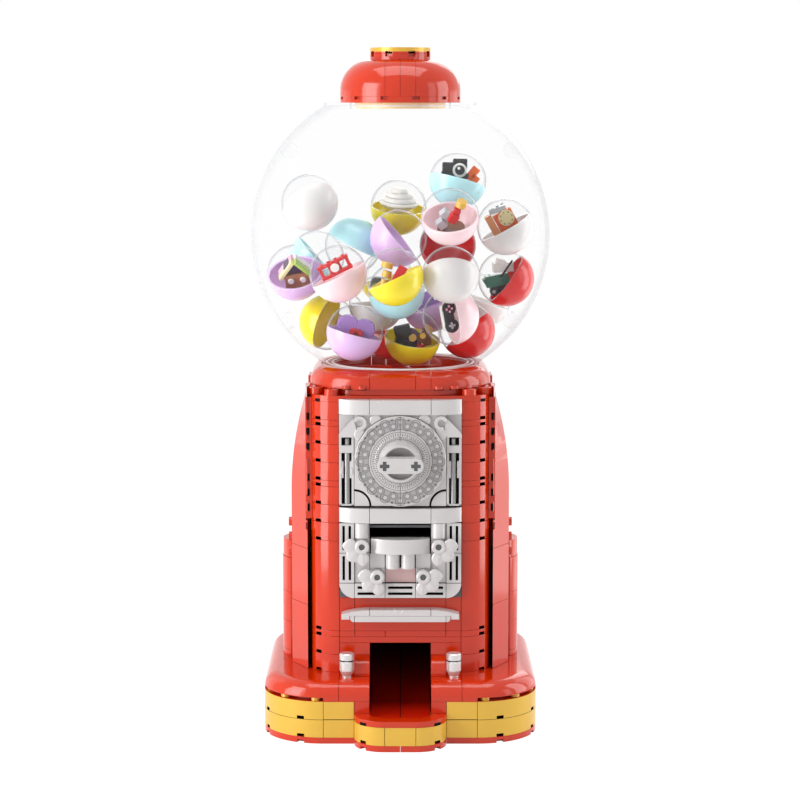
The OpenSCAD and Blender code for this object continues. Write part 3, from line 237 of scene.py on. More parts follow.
def make_skin_group():
    group, gin, gout = new_group(
        "moulded_skin",
        [("Vector", "NodeSocketVector", None), ("Colour", "NodeSocketColor", (1, 0, 0, 1)),
         ("Clouds", "NodeSocketFloat", 0.05), ("Roughness", "NodeSocketFloat", 0.25),
         ("Uneven", "NodeSocketFloat", 0.06)],
        [("Colour", "NodeSocketColor"), ("Roughness", "NodeSocketFloat"),
         ("Height", "NodeSocketFloat")])
    place = gin.outputs["Vector"]
    clouds = math_node(group, "SUBTRACT", noise_node(group, place, CLOUD_SCALE, 3.0), 0.5)
    value = math_node(group, "MULTIPLY_ADD", clouds, gin.outputs["Clouds"], 1.0)
    tint = add_node(group, "HueSaturation", {"Value": value, "Color": gin.outputs["Colour"]})
    patches = math_node(group, "SUBTRACT", noise_node(group, place, PATCH_SCALE, 4.0), 0.5)
    swing = math_node(group, "MULTIPLY", patches, gin.outputs["Uneven"])
    feed(group, gout, {
        "Colour": tint.outputs["Color"],
        "Roughness": math_node(group, "ADD", swing, gin.outputs["Roughness"]),
        "Height": math_node(group, "MULTIPLY_ADD", noise_node(group, place, PEEL_SCALE, 2.0),
                            PEEL_SHARE, noise_node(group, place, RIPPLE_SCALE, 1.0))})
    return group


SKIN = make_skin_group()
print("skin group with", len(SKIN.nodes), "nodes")

# %% [markdown]
# A plastic is the Principled shader with the skin group in front of it. Only the colour, the
# gloss and a few more values differ between the bricks, so one function makes them all. The
# milky cups also let light wander a few millimetres under their surface.

# %% Plastic from the skin group
MILKY_DEPTH = 0.004
RIPPLE = 0.04


def new_material(name):
    material = bpy.data.materials.new(name)
    material.use_nodes = True
    nt = material.node_tree
    return material, nt, nt.nodes["Principled BSDF"]


def add_skin(nt, shader, colour, clouds, roughness, uneven):
    """Puts the skin group before a shader's colour and roughness."""
    place = add_node(nt, "TexCoord")
    skin = add_node(nt, "Group", {
        "Vector": place.outputs["Object"], "Colour": (*colour, 1), "Clouds": clouds,
        "Roughness": roughness, "Uneven": uneven}, node_tree=SKIN)
    feed(nt, shader, {
        "Base Color": skin.outputs["Colour"], "Roughness": skin.outputs["Roughness"]})
    return skin


def plastic(name, colour, roughness=0.22, clouds=0.06, uneven=0.05, metallic=0.0,
            specular=0.5, subsurface=0.0):
    material, nt, shader = new_material(name)
    skin = add_skin(nt, shader, colour, clouds, roughness, uneven)
    bump = add_node(nt, "Bump", {
        "Strength": RIPPLE, "Distance": 0.001, "Height": skin.outputs["Height"]})
    feed(nt, shader, {
        "Normal": bump.outputs["Normal"], "Metallic": metallic, "Specular IOR Level": specular,
        "Subsurface Weight": subsurface, "Subsurface Radius": (1, 1, 1),
        "Subsurface Scale": MILKY_DEPTH})
    material.diffuse_color = (*colour, 1)
    return material


def node_of_type(nt, kind):
    return next(node for node in nt.nodes if node.type == kind)


def darker_inwards(material, front_y, back_y, share):
    """Painted shade: the colour falls to a small share of itself from a front to a back, in
    metres.
    """
    nt = material.node_tree
    colour = node_of_type(nt, "GROUP").inputs["Colour"]
    parts = add_node(nt, "SeparateXYZ", {
        "Vector": node_of_type(nt, "TEX_COORD").outputs["Object"]})
    fade = smooth_range(nt, parts.outputs["Y"], front_y, back_y, 1.0, share)
    tint = add_node(nt, "HueSaturation", {"Color": colour.default_value, "Value": fade})
    nt.links.new(tint.outputs["Color"], colour)
    return material


print("plastics with a ripple of", RIPPLE)

# %% [markdown]
# The machine is red with gold bands, and its coin face and dial are silver. The two darker reds
# and the black are for places where little light gets in. Shadows alone could darken those, but
# this bright studio leaves a little light in every gap, so they get colours of their own.

# %% Colours of the bricks
RED = plastic("red_brick", (0.56, 0.026, 0.001), roughness=0.11, uneven=0.03)
# The chute floor's red is painted darker inwards: painted shade.
RED_CHUTE_SHADE = darker_inwards(
    plastic("red_chute_painted_shade", (0.46, 0.010, 0.001), roughness=0.4, specular=0.1),
    front_y=-0.070, back_y=0.015, share=0.04)
RED_INSIDE = plastic("red_brick_inside", (0.05, 0.003, 0.001), roughness=0.5, specular=0.1)
GOLD = plastic("gold_brick", (0.70, 0.42, 0.05), roughness=0.3, clouds=0.14, uneven=0.1,
               metallic=0.22)
SILVER = plastic("silver_brick", (0.60, 0.575, 0.575), roughness=0.26, clouds=0.07, uneven=0.08,
                 metallic=0.15)
# Pink-grey is a painted reflection on a silver tile of the coin face.
PINK_REFLECTION = plastic("silver_painted_pink_reflection", (0.60, 0.40, 0.39), roughness=0.3, metallic=0.2)
STEEL = plastic("steel_grey_brick", (0.30, 0.29, 0.29), roughness=0.22, metallic=0.6)
CHROME = plastic("bright_posts", (0.66, 0.64, 0.64), roughness=0.24, metallic=0.6)
DARK_GREY = plastic("dark_grey_brick", (0.09, 0.09, 0.095), roughness=0.3)
BLACK = plastic("black_inside", (0.006, 0.006, 0.006), roughness=0.5, specular=0.03)
print("red, gold, silver, steel, dark grey and the dark of the insides")

# %% [markdown]
# The globe and the capsules' upper halves are thin clear plastic. Seen face on it is almost
# invisible, and only its edges, where the eye looks along the wall, turn pale grey. A thin wall
# bends light hardly at all, so an alpha that grows towards the edge looks right and stays clean.
# Real clear plastic lets the lamps' light through at its edges too, so light on its way to the
# capsules inside is not held up by that alpha.

# %% Clear plastic
def clear_plastic(name, face_alpha, edge_alpha, edge_start, colour):
    material, nt, shader = new_material(name)
    add_skin(nt, shader, colour, clouds=0.03, roughness=0.07, uneven=0.03)
    facing = add_node(nt, "LayerWeight", {"Blend": 0.5}).outputs["Facing"]
    alpha = smooth_range(nt, facing, edge_start, 1.0, face_alpha, edge_alpha)
    stops = math_node(nt, "SUBTRACT", 1.0, ray_is(nt, "Is Shadow Ray", "Is Diffuse Ray"))
    feed(nt, shader, {"Alpha": math_node(nt, "MULTIPLY", alpha, stops)})
    material.diffuse_color = (*colour, 0.3)
    return material


CLEAR_GLOBE = clear_plastic("clear_globe", 0.02, 0.8, 0.6, (0.62, 0.63, 0.66))
# A pale plastic for wires that are a painted highlight on the globe's lower edge.
NECK_HIGHLIGHT = plastic("neck_painted_highlight", (0.90, 0.89, 0.89), roughness=0.15)
CLEAR_CAPSULE = clear_plastic("clear_capsule", 0.03, 0.95, 0.5, (0.46, 0.48, 0.52))
print("clear plastics")

# %% [markdown]
# Every piece rides on one of the machine's bodies, and nearly all of them stand for one of the
# frame's solids, whose body they take over.

# %% Helpers for pieces
MM = 0.001
SHARP = radians(24)


def is_sharp(edge):
    return len(edge.link_faces) == 2 and edge.calc_face_angle(0) > SHARP


def smooth_by_angle(bm):
    """Faces shade smoothly, apart from sharp and open edges."""
    for face in bm.faces:
        face.smooth = True
    for edge in bm.edges:
        edge.smooth = len(edge.link_faces) == 2 and edge.calc_face_angle(0) < SHARP


def link_piece(bm, name, materials, body, slot, replaced=()):
    """Makes the bmesh an object that rides on a body, in place of the replaced nodes."""
    mesh = bpy.data.meshes.new(name)
    smooth_by_angle(bm)
    bm.to_mesh(mesh)
    bm.free()
    for material in materials if isinstance(materials, (list, tuple)) else [materials]:
        mesh.materials.append(material)
    piece = bpy.data.objects.new(name, mesh)
    bpy.context.scene.collection.objects.link(piece)
    normals = piece.modifiers.new("flat_faces", "WEIGHTED_NORMAL")
    normals.keep_sharp = True
    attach(piece, body)
    if replaced:
        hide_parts(*replaced)
    return piece


def body_of_node(node):
    for body, members in frame["record"]["behaviour"]["bodies"].items():
        if node in members:
            return body


def slot_of_node(node):
    for part in frame["record"]["subparts"]:
        if part["node"] == node:
            return part["material_slot"]


def stand_for(bm, name, materials, node):
    """Makes the bmesh a piece that stands for a frame solid and rides on its body."""
    return link_piece(bm, name, materials, body_of_node(node), slot_of_node(node), (node,))


print("edges above", round(degrees(SHARP)), "degrees count as sharp")

# %% [markdown]
# Every brick has soft edges: the mould leaves them about 0.15 mm round, and that thin line of
# light is what makes a seam readable. The frame's bricks are sharp, so each solid is copied,
# its triangles are joined back into flat faces, and its sharp edges are bevelled. Bricks are
# done one by one, because the bevel's overlap limit then counts for one brick only.

# %% Helpers that dress a frame solid
FLAT = radians(0.3)
MERGE = 1e-6


def loose_solids(bm):
    """The faces of each separate solid in the bmesh."""
    left = set(bm.faces)
    while left:
        island, front = set(), [left.pop()]
        while front:
            face = front.pop()
            island.add(face)
            for edge in face.edges:
                for other in edge.link_faces:
                    if other in left:
                        left.remove(other)
                        front.append(other)
        yield island


def bevel(bm, edges, width, segments=2):
    bmesh.ops.bevel(bm, geom=edges, offset=width * MM, offset_type="OFFSET", affect="EDGES",
                    segments=segments, profile=0.5, material=-1, clamp_overlap=True)


def paint_faces(bm, paint):
    """Gives each face the material index that paint(centre in mm, normal) picks."""
    for face in bm.faces:
        face.material_index = paint(face.calc_center_median() / MM, face.normal)


def copy_of_node(node):
    """A frame solid's mesh as a bmesh, with its triangles joined at their corners."""
    bm = bmesh.new()
    bm.from_mesh(nodes[node].data)
    bmesh.ops.remove_doubles(bm, verts=bm.verts, dist=MERGE)
    return bm


def dress(node, name, material, width, paint=None, shape=None):
    """A copy of a frame solid with soft edges, which stands for it."""
    source = copy_of_node(node)
    whole = bmesh.new()
    scratch = bpy.data.meshes.new("scratch")
    solids = list(loose_solids(source))
    for island in solids:
        one = bmesh.new()
        new_vert = {}
        for face in island:
            for vert in face.verts:
                if vert not in new_vert:
                    new_vert[vert] = one.verts.new(vert.co)
            one.faces.new([new_vert[v] for v in face.verts])
        bmesh.ops.dissolve_limit(one, angle_limit=FLAT, verts=one.verts, edges=one.edges)
        bevel(one, [edge for edge in one.edges if is_sharp(edge)], width)
        one.to_mesh(scratch)
        one.free()
        whole.from_mesh(scratch)
    source.free()
    bpy.data.meshes.remove(scratch)
    if shape:
        shape(whole)
    if paint:
        whole.normal_update()
        paint_faces(whole, paint)
    piece = stand_for(whole, name, material, node)
    print(f"{name}: {len(solids)} solids, {len(piece.data.polygons)} faces")

# %% [markdown]
# Small parts are put together from two shapes, a block and a round, each made by one operator and
# then bevelled. A block could also be typed as eight corners and six faces, but the operator
# closes it and points its faces outwards by itself. Each part takes the index of its material on
# the piece.

# %% Helpers for small bricks
def finish_part(bm, verts, index, edge):
    """Softens one new part and gives its faces a material."""
    faces = {f for v in verts for f in v.link_faces}
    for face in faces:
        face.material_index = index
    bm.normal_update()
    bevel(bm, [e for e in {e for f in faces for e in f.edges} if is_sharp(e)], edge)


def block(bm, index, at, size, turn=0.0, about="Y", edge=0.25):
    """A brick: centre and size in mm, turned about one axis."""
    matrix = (Matrix.Translation(Vector(at) * MM) @ Matrix.Rotation(radians(turn), 4, about)
              @ Matrix.Diagonal((*(Vector(size) * MM), 1)))
    made = bmesh.ops.create_cube(bm, size=1.0, matrix=matrix)
    finish_part(bm, made["verts"], index, edge)


def round_part(bm, index, at, radius, height, top=None, tip=0.0, about="X", edge=0.2):
    """A round brick or a cone, tipped about one axis."""
    matrix = Matrix.Translation(Vector(at) * MM) @ Matrix.Rotation(radians(tip), 4, about)
    made = bmesh.ops.create_cone(
        bm, cap_ends=True, segments=24, radius1=radius * MM,
        radius2=(radius if top is None else top) * MM, depth=height * MM, matrix=matrix)
    finish_part(bm, made["verts"], index, edge)

# %% [markdown]
# The base is a stack: a red plate course, two courses of gold bricks and a red deck with a round
# edge. The gold bricks have small cut-outs at their corners, whose shade is painted black on every
# face that lies deeper than the bricks' own round outline. A rule on a face's place is better than
# a list of faces, because it still holds when a solid has more or fewer of them.

# %% Base
STUD_PITCH = 8.0
STUD_HEIGHT = 1.7
BASE_LOW, BASE_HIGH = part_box("gold_band_lower")
BASE_HALF_X = BASE_HIGH.x / MM
BASE_HALF_Y = (BASE_HIGH.y - BASE_LOW.y) / 2 / MM
BASE_ROUND = 4 * STUD_PITCH
COURSE_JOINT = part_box("gold_band_upper")[0].z / MM
COURSE_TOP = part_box("gold_band_upper")[1].z / MM - STUD_HEIGHT
JOINT_LINE = 0.35
TOP_EDGE = 0.4
CUT_DEEP = 0.5


def depth_in_round_box(centre, half_x, half_y, radius):
    """How far a point lies inside an upright box with round corners, in mm."""
    dx = abs(centre.x) - (half_x - radius)
    dy = abs(centre.y) - (half_y - radius)
    if dx > 0 and dy > 0:
        return radius - sqrt(dx * dx + dy * dy)
    return min(half_x - abs(centre.x), half_y - abs(centre.y))


def gold_with_notches(centre, normal):
    """Gold studs and bricks, a red top, black for the middle joint, and painted black shade in the
    cut-outs.
    """
    if centre.z > COURSE_TOP + 0.1:
        return 0
    if abs(centre.z - COURSE_TOP) < TOP_EDGE:
        return 2
    if abs(centre.z - COURSE_JOINT) < JOINT_LINE:
        return 1
    deep = depth_in_round_box(centre, BASE_HALF_X, BASE_HALF_Y, BASE_ROUND) > CUT_DEEP
    return 1 if deep else 0


# The drop channel is dark red all over: painted shade.
for node, name, material, width in [
        ("base_plate", "bottom_plates", RED, 0.2), ("tray_plate", "tray_bottom", RED, 0.2),
        ("tray_rim", "tray_edge", RED, 0.25), ("base_deck", "deck", RED, 0.15),
        ("drop_channel", "channel", RED_INSIDE, 0.15)]:
    dress(node, name, material, width)
for course in ("lower", "upper"):
    dress(f"gold_band_{course}", f"gold_course_{course}", (GOLD, BLACK, RED), 0.2,
          paint=gold_with_notches)

# %% [markdown]
# The tray juts out in front with its own short stack. The cut-outs of its gold bricks get the same
# painted black shade. Those of its red edge could be cut out, but at this size two thin black
# marks of painted shade, turned with the round corners, look the same.

# %% Tray
TRAY_LOW, TRAY_HIGH = (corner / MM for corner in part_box("tray_gold_band"))
TRAY_ROUND = 2 * STUD_PITCH
TRAY_CORNER_Y = TRAY_LOW.y + TRAY_ROUND
TRAY_DEPTH = 3 * TRAY_ROUND
EDGE_MARK = (4.6, 0.6, 1.6)


def dark_tray_notches(centre, normal):
    """Painted shade: black for the cut-outs at the tray's round corners."""
    if centre.y > TRAY_CORNER_Y or abs(normal.z) > 0.9:
        return 0
    in_tray = Vector((centre.x, centre.y - TRAY_LOW.y - TRAY_DEPTH, centre.z))
    deep = depth_in_round_box(in_tray, TRAY_HIGH.x, TRAY_DEPTH, TRAY_ROUND) > CUT_DEEP
    return 1 if deep else 0


dress("tray_gold_band", "tray_gold_bricks", (GOLD, BLACK), 0.2, paint=dark_tray_notches)
marks = bmesh.new()
to_face = (TRAY_ROUND - 0.2) * sin(radians(45))
for side in (-1, 1):
    at = (side * (TRAY_HIGH.x - TRAY_ROUND + to_face), TRAY_CORNER_Y - to_face,
          TRAY_HIGH.z + EDGE_MARK[2] / 2)
    block(marks, 0, at, EDGE_MARK, turn=side * 45, about="Z", edge=0.1)
stand_for(marks, "tray_edge_holes", BLACK, "tray_rim")
print("tray corners of radius", TRAY_ROUND)

# %% [markdown]
# The two posts beside the chute are turned. They could be stacked from cylinders and cones, but
# one profile, from the foot up to the middle of the cap and spun round the post's axis, gives a
# single closed skin. The frame's own posts have a simpler outline.

# %% Guard posts
POST_FOOT_R = 2.5
POST_GROOVE_R = 3.2
GROOVE_LOW, GROOVE_HIGH = 8.5, 9.1


def guard_posts():
    """Two turned posts: a narrow foot, a plain body, a groove painted black as shade, and a cap.
    """
    low, high = (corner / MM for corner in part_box("guard_posts"))
    radius, height = (high.y - low.y) / 2, high.z - low.z
    bm = bmesh.new()
    profile = [(0, 0), (POST_FOOT_R, 0), (POST_FOOT_R, 0.8), (radius - 0.15, 3.2), (radius, 3.8),
               (radius, GROOVE_LOW - 0.2), (radius - 0.2, GROOVE_LOW),
               (POST_GROOVE_R, GROOVE_LOW), (POST_GROOVE_R, GROOVE_HIGH),
               (radius - 0.2, GROOVE_HIGH), (radius, GROOVE_HIGH + 0.2),
               (radius, height - 0.5), (radius - 0.5, height), (0, height)]
    for x in (low.x + radius, high.x - radius):
        at = Vector((x, (low.y + high.y) / 2, low.z))
        line = [bm.verts.new((at + Vector((r, 0, z))) * MM) for r, z in profile]
        edges = [bm.edges.new(pair) for pair in zip(line, line[1:])]
        bmesh.ops.spin(bm, geom=line + edges, cent=at * MM, axis=(0, 0, 1), angle=2 * pi,
                       steps=40, use_merge=True, use_duplicate=False)
    bmesh.ops.remove_doubles(bm, verts=bm.verts, dist=MERGE)
    bmesh.ops.recalc_face_normals(bm, faces=bm.faces)
    for face in bm.faces:
        z = face.calc_center_median().z / MM - low.z
        face.material_index = 1 if GROOVE_LOW - 0.05 < z < GROOVE_HIGH + 0.05 else 0
    stand_for(bm, "posts_by_chute", (CHROME, BLACK), "guard_posts")
    print("guard posts of radius", round(radius, 2))


guard_posts()

# %% [markdown]
# Little light gets into the chute on the real machine, and this bright studio would light it too
# well. So its floor darkens inwards by its material, its sides are dark red behind the front wall,
# and a thin black line marks the joint down its middle.

# %% Chute
SEAM_REACH = 0.25
SHADE_BEHIND = 2.0
WALL_FRONT_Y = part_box("lower_front_wall")[0].y / MM
RAMP_LOW, RAMP_HIGH = (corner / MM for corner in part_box("chute_ramp"))
RAMP_BEND = Vector((0, -38.0, 14.0))
RAMP_TILT = atan2(RAMP_HIGH.z - RAMP_BEND.z, RAMP_HIGH.y - RAMP_BEND.y)
SEAM_ON_FOOT = RAMP_BEND.y - RAMP_LOW.y - 0.4
SEAM_ON_SLOPE = 44.0
SEAM_WIDTH, SEAM_HEIGHT = 0.4, 0.12


def close_seam(bm):
    """Brings the bricks together at the middle seam, so that no light comes through."""
    for vert in bm.verts:
        if abs(vert.co.x) < SEAM_REACH * MM:
            vert.co.x = 0


def dark_behind_wall(centre, normal):
    """Painted shade: dark red for all that lies well behind the front wall's face."""
    return 1 if centre.y > WALL_FRONT_Y + SHADE_BEHIND else 0


dress("chute_ramp", "chute_floor", RED_CHUTE_SHADE, 0.15, shape=close_seam)
seam = bmesh.new()
block(seam, 0, RAMP_BEND - Vector((0, SEAM_ON_FOOT / 2, 0)),
      (SEAM_WIDTH, SEAM_ON_FOOT, SEAM_HEIGHT), edge=0.03)
block(seam, 0, RAMP_BEND + Vector((0, cos(RAMP_TILT), sin(RAMP_TILT))) * SEAM_ON_SLOPE / 2,
      (SEAM_WIDTH, SEAM_ON_SLOPE, SEAM_HEIGHT), turn=degrees(RAMP_TILT), about="X", edge=0.03)
stand_for(seam, "chute_floor_seam", BLACK, "chute_ramp")
dress("chute_walls", "chute_sides", (RED, RED_INSIDE), 0.15, paint=dark_behind_wall)
print("the chute slopes at", round(degrees(RAMP_TILT), 1), "degrees")

# %% [markdown]
# The body is brickwork: four round columns, flat walls between them, wings at the sides and a
# rounded shoulder under the globe. The frame's walls and shoulder have their real shapes and only
# need soft edges. The small studs before the shoulder are added here, each with a thin dark plate
# under it for the shadow line.

# %% Walls and shoulder
SHOULDER_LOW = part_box("shoulder")[0] / MM
LEDGE_STUD_R, LEDGE_STUD_HIGH = 2.4, 1.9
LEDGE_STUDS = [(20, SHOULDER_LOW.y - 1.5), (28, SHOULDER_LOW.y + 0.4)]
for node, name, material, width in [
        ("hood_bar", "hood", SILVER, 0.2), ("side_walls", "walls_side", RED, 0.15),
        ("rear_wings", "wings_rear", RED, 0.25), ("side_ribs", "ribs", RED, 0.2),
        ("floor_plate", "globe_floor", RED, 0.15), ("ledge_ring", "ledge", RED, 0.15),
        ("shoulder", "shoulder_slabs", RED, 0.15)]:
    dress(node, name, material, width)

ledge_studs = bmesh.new()
for x, front in LEDGE_STUDS:
    for side in (-1, 1):
        foot = Vector((side * x, front + LEDGE_STUD_R, SHOULDER_LOW.z))
        round_part(ledge_studs, 0, foot + Vector((0, 0, LEDGE_STUD_HIGH / 2)), LEDGE_STUD_R,
                   LEDGE_STUD_HIGH)
        block(ledge_studs, 1, foot, (2 * LEDGE_STUD_R, 2 * LEDGE_STUD_R, 0.3), edge=0.05)
stand_for(ledge_studs, "studs_at_shoulder", (RED, RED_INSIDE), "shoulder")
print(2 * len(LEDGE_STUDS), "studs before the shoulder")

# %% [markdown]
# A gap of about a millimetre parts each wing from its column. The frame's gap is wider, and moving
# the vertices along the wing's front edge is simpler than a new wing. The gap's lower half is in
# deep shade, painted black. Its upper half is closed by a red strip with pin holes of painted
# shade.

# %% Wings
WING_FRONT_Y = -32.5
WING_INNER_X = 51.2
EDGE_SHIFT = 1.0
GAP_DARK_BELOW = 112.0
GAP_DARK_FRONT = -30
STRIP_X, STRIP_Y = 48.2, -38.6
STRIP_LOW, STRIP_TOP = GAP_DARK_BELOW + 1, 177.6
STRIP_WIDTH, STRIP_DEPTH = 3.4, 0.6
HOLE_X, HOLE_Y = 48.6, -39.0
HOLE_SIZE = (1.7, 0.4, 3.8)
HOLES_UP = [low + k * STUD_PITCH for low in (118.9, 151.3) for k in range(3)]


def close_gap(bm):
    """Brings the wings' front edges to about a millimetre from the columns."""
    for vert in bm.verts:
        if vert.co.y < WING_FRONT_Y * MM and abs(vert.co.x) < WING_INNER_X * MM:
            vert.co.x -= copysign(EDGE_SHIFT * MM, vert.co.x)


def dark_gap(centre, normal):
    """Painted shade: black on the wings' side of the gap's lower half."""
    inwards = -normal.x * copysign(1, centre.x)
    in_gap = centre.y < GAP_DARK_FRONT and centre.z < GAP_DARK_BELOW
    return 1 if inwards > 0.5 and in_gap else 0


dress("front_wings", "wings_front", (RED, BLACK), 0.25, paint=dark_gap, shape=close_gap)
holes = bmesh.new()
for side in (-1, 1):
    block(holes, 1, (side * STRIP_X, STRIP_Y, (STRIP_LOW + STRIP_TOP) / 2),
          (STRIP_WIDTH, STRIP_DEPTH, STRIP_TOP - STRIP_LOW), edge=0.1)
    # Each pin hole is a black block of painted shade.
    for z in HOLES_UP:
        block(holes, 0, (side * HOLE_X, HOLE_Y, z), HOLE_SIZE, edge=0.1)
stand_for(holes, "wing_edge_holes", (BLACK, RED), "front_wings")
print(2 * len(HOLES_UP), "pin holes")

# %% [markdown]
# Each brick of a round column has a cut-out under its corner. The frame has these cut-outs
# already, so only their shade is missing, and it is painted black. A face is part of one, or of
# the joint between two bricks, where it lies nearer to the column's axis than its round skin. The
# top bricks' cut-outs are thin black marks of painted shade.

# %% Columns and their walls
FACE_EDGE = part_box("front_column_right")[0].x / MM
COLUMN_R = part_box("front_column_right")[1].x / MM - FACE_EDGE
COLUMN_SIDE_X = 46
NOTCH_DEEP = 0.45
TOP_NOTCH_Z = 176.5
TOP_NOTCH = (3.4, 0.5, 1.6)


def dark_column(centre, normal):
    """Black for the columns' side of the gap's lower half and for what lies deeper than their
    round skin: painted shade, and dark joints between bricks.
    """
    off_x = abs(centre.x) - FACE_EDGE
    off_y = abs(centre.y) - FACE_EDGE
    if abs(normal.x) > 0.94 and abs(centre.x) > COLUMN_SIDE_X and centre.z < GAP_DARK_BELOW:
        return 1
    if off_x < 0 or off_y < 0:
        return 0
    return 1 if sqrt(off_x ** 2 + off_y ** 2) < COLUMN_R - NOTCH_DEEP else 0


for node, name in [("front_column_left", "column_front_left"),
                   ("front_column_right", "column_front_right"),
                   ("rear_columns", "columns_rear")]:
    dress(node, name, (RED, BLACK), 0.2, paint=dark_column)
notches = bmesh.new()
to_skin = FACE_EDGE + (COLUMN_R - 0.15) * sin(radians(45))
for side in (-1, 1):
    block(notches, 0, (side * to_skin, -to_skin, TOP_NOTCH_Z), TOP_NOTCH, turn=side * 45,
          about="Z", edge=0.1)
stand_for(notches, "top_brick_notches", BLACK, "front_column_left")
dress("rear_wall", "wall_rear", RED, 0.15, shape=close_seam)
dress("lower_front_wall", "wall_over_chute", (RED, RED_INSIDE), 0.15, paint=dark_behind_wall)
print("columns begin", round(FACE_EDGE, 1), "mm from the middle")

# %% [markdown]
# The coin face is a thin layer of tiles over the front wall. What lies behind its slots and
# seams is in deep shadow, so those faces are painted black here: the wall behind the tiles, the
# tiles' edges, and the slots of the grilles.

# %% Coin face: what is dark
FACE_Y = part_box("face_panel_upper")[0].y / MM
FACE_BACK_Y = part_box("face_panel_upper")[1].y / MM
UPPER_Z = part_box("face_panel_upper")[0].z / MM
FACE_LOW_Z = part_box("face_panel_lower")[0].z / MM
FACE_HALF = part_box("face_panel_lower")[1].x / MM
TILE_PITCH = 2 * FACE_HALF / 8
PIN_R = 1.7
NUT_PINS = {joint["child"]: Vector(joint["pos_m"])
            for joint in frame["record"]["behaviour"]["joints"]
            if joint["child"].startswith("nut_")}


def dark_wall(centre, normal):
    """Black for the wall's front, which the tiles cover, and for all that lies deeper."""
    return 1 if centre.y < FACE_BACK_Y + 0.6 or centre.y > FACE_BACK_Y + 1 else 0


def dark_seams(centre, normal):
    """Tile edges and slot floors, with a pink-grey painted reflection on the tile in the middle of
    the second row.
    """
    if normal.y > -0.25 or centre.y > FACE_Y + 2:
        return 1
    in_row = TILE_PITCH < centre.z - FACE_LOW_Z < 2 * TILE_PITCH
    return 2 if in_row and abs(centre.x) < TILE_PITCH else 0


def dark_trim(centre, normal):
    """The guide bar in the coin slot, the fills behind the round corners and the pins' ends."""
    low = centre.z - FACE_LOW_Z
    if low < TILE_PITCH * 0.55 and abs(centre.x) > FACE_HALF - TILE_PITCH:
        return 1
    if centre.y > FACE_BACK_Y - 1.2 and abs(centre.x) < 2 * TILE_PITCH and low > 4 * TILE_PITCH:
        return 1
    for pin in NUT_PINS.values():
        if sqrt((centre.x - pin.x / MM) ** 2 + (centre.z - pin.z / MM) ** 2) < PIN_R:
            return 1
    return 0


dress("front_wall", "wall_behind_face", (RED, BLACK), 0.15, paint=dark_wall)
for node, name in [("face_panel_lower", "panel_lower"), ("face_panel_upper", "panel_upper")]:
    dress(node, name, (SILVER, BLACK, PINK_REFLECTION), 0.15, paint=dark_seams)
dress("face_trim", "trim", (SILVER, DARK_GREY), 0.2, paint=dark_trim)
dress("face_bands", "bands", SILVER, 0.2)

# %% [markdown]
# Beside the dial stand two linkages, mirrored. Each has a rod in a slotted frame with a clip round
# it, a block with a window above, and a slanted arm that ends in an open hook. Most of it is bars
# with soft edges. The hook is a small rectangle, spun three quarters of the way round, and the arm
# is an outline that is extruded backwards.

# %% Linkages beside the dial
HOOK = (21.2, 165.6)
HOOK_OUTER, HOOK_HOLE = 3.7, 1.9
LINK_SILVER, LINK_STEEL, LINK_SHADE = 0, 1, 2


def bar(bm, index, x, y, z, edge=0.2):
    """A block given by its edges in mm."""
    block(bm, index, [(a[0] + a[1]) / 2 for a in (x, y, z)], [a[1] - a[0] for a in (x, y, z)],
          edge=edge)


def hook(bm, front, depth):
    """Three quarters of a ring, open towards the dial, with round ends."""
    inner, outer = HOOK_HOLE, HOOK_OUTER
    loop = [bm.verts.new(((HOOK[0] + r) * MM, y * MM, HOOK[1] * MM)) for r, y in [
        (inner, front), (outer, front), (outer, front + depth), (inner, front + depth)]]
    face = bm.faces.new(loop)
    start = Matrix.Rotation(radians(-20), 4, "Y")
    centre = Vector((HOOK[0] * MM, 0, HOOK[1] * MM))
    bmesh.ops.rotate(bm, cent=centre, matrix=start, verts=loop)
    made = bmesh.ops.spin(bm, geom=[face] + list(face.edges) + loop, cent=centre,
                          axis=(0, -1, 0), angle=radians(275), steps=28)
    for item in made["geom_last"]:
        if isinstance(item, bmesh.types.BMFace):
            item.material_index = LINK_SILVER


def arm(bm, front, depth, corners):
    """A flat slanted bar from its corner points."""
    face = bm.faces.new([bm.verts.new((x * MM, front * MM, z * MM)) for x, z in corners])
    made = bmesh.ops.extrude_face_region(bm, geom=[face])
    bmesh.ops.translate(bm, vec=(0, depth * MM, 0),
                        verts=[v for v in made["geom"] if isinstance(v, bmesh.types.BMVert)])


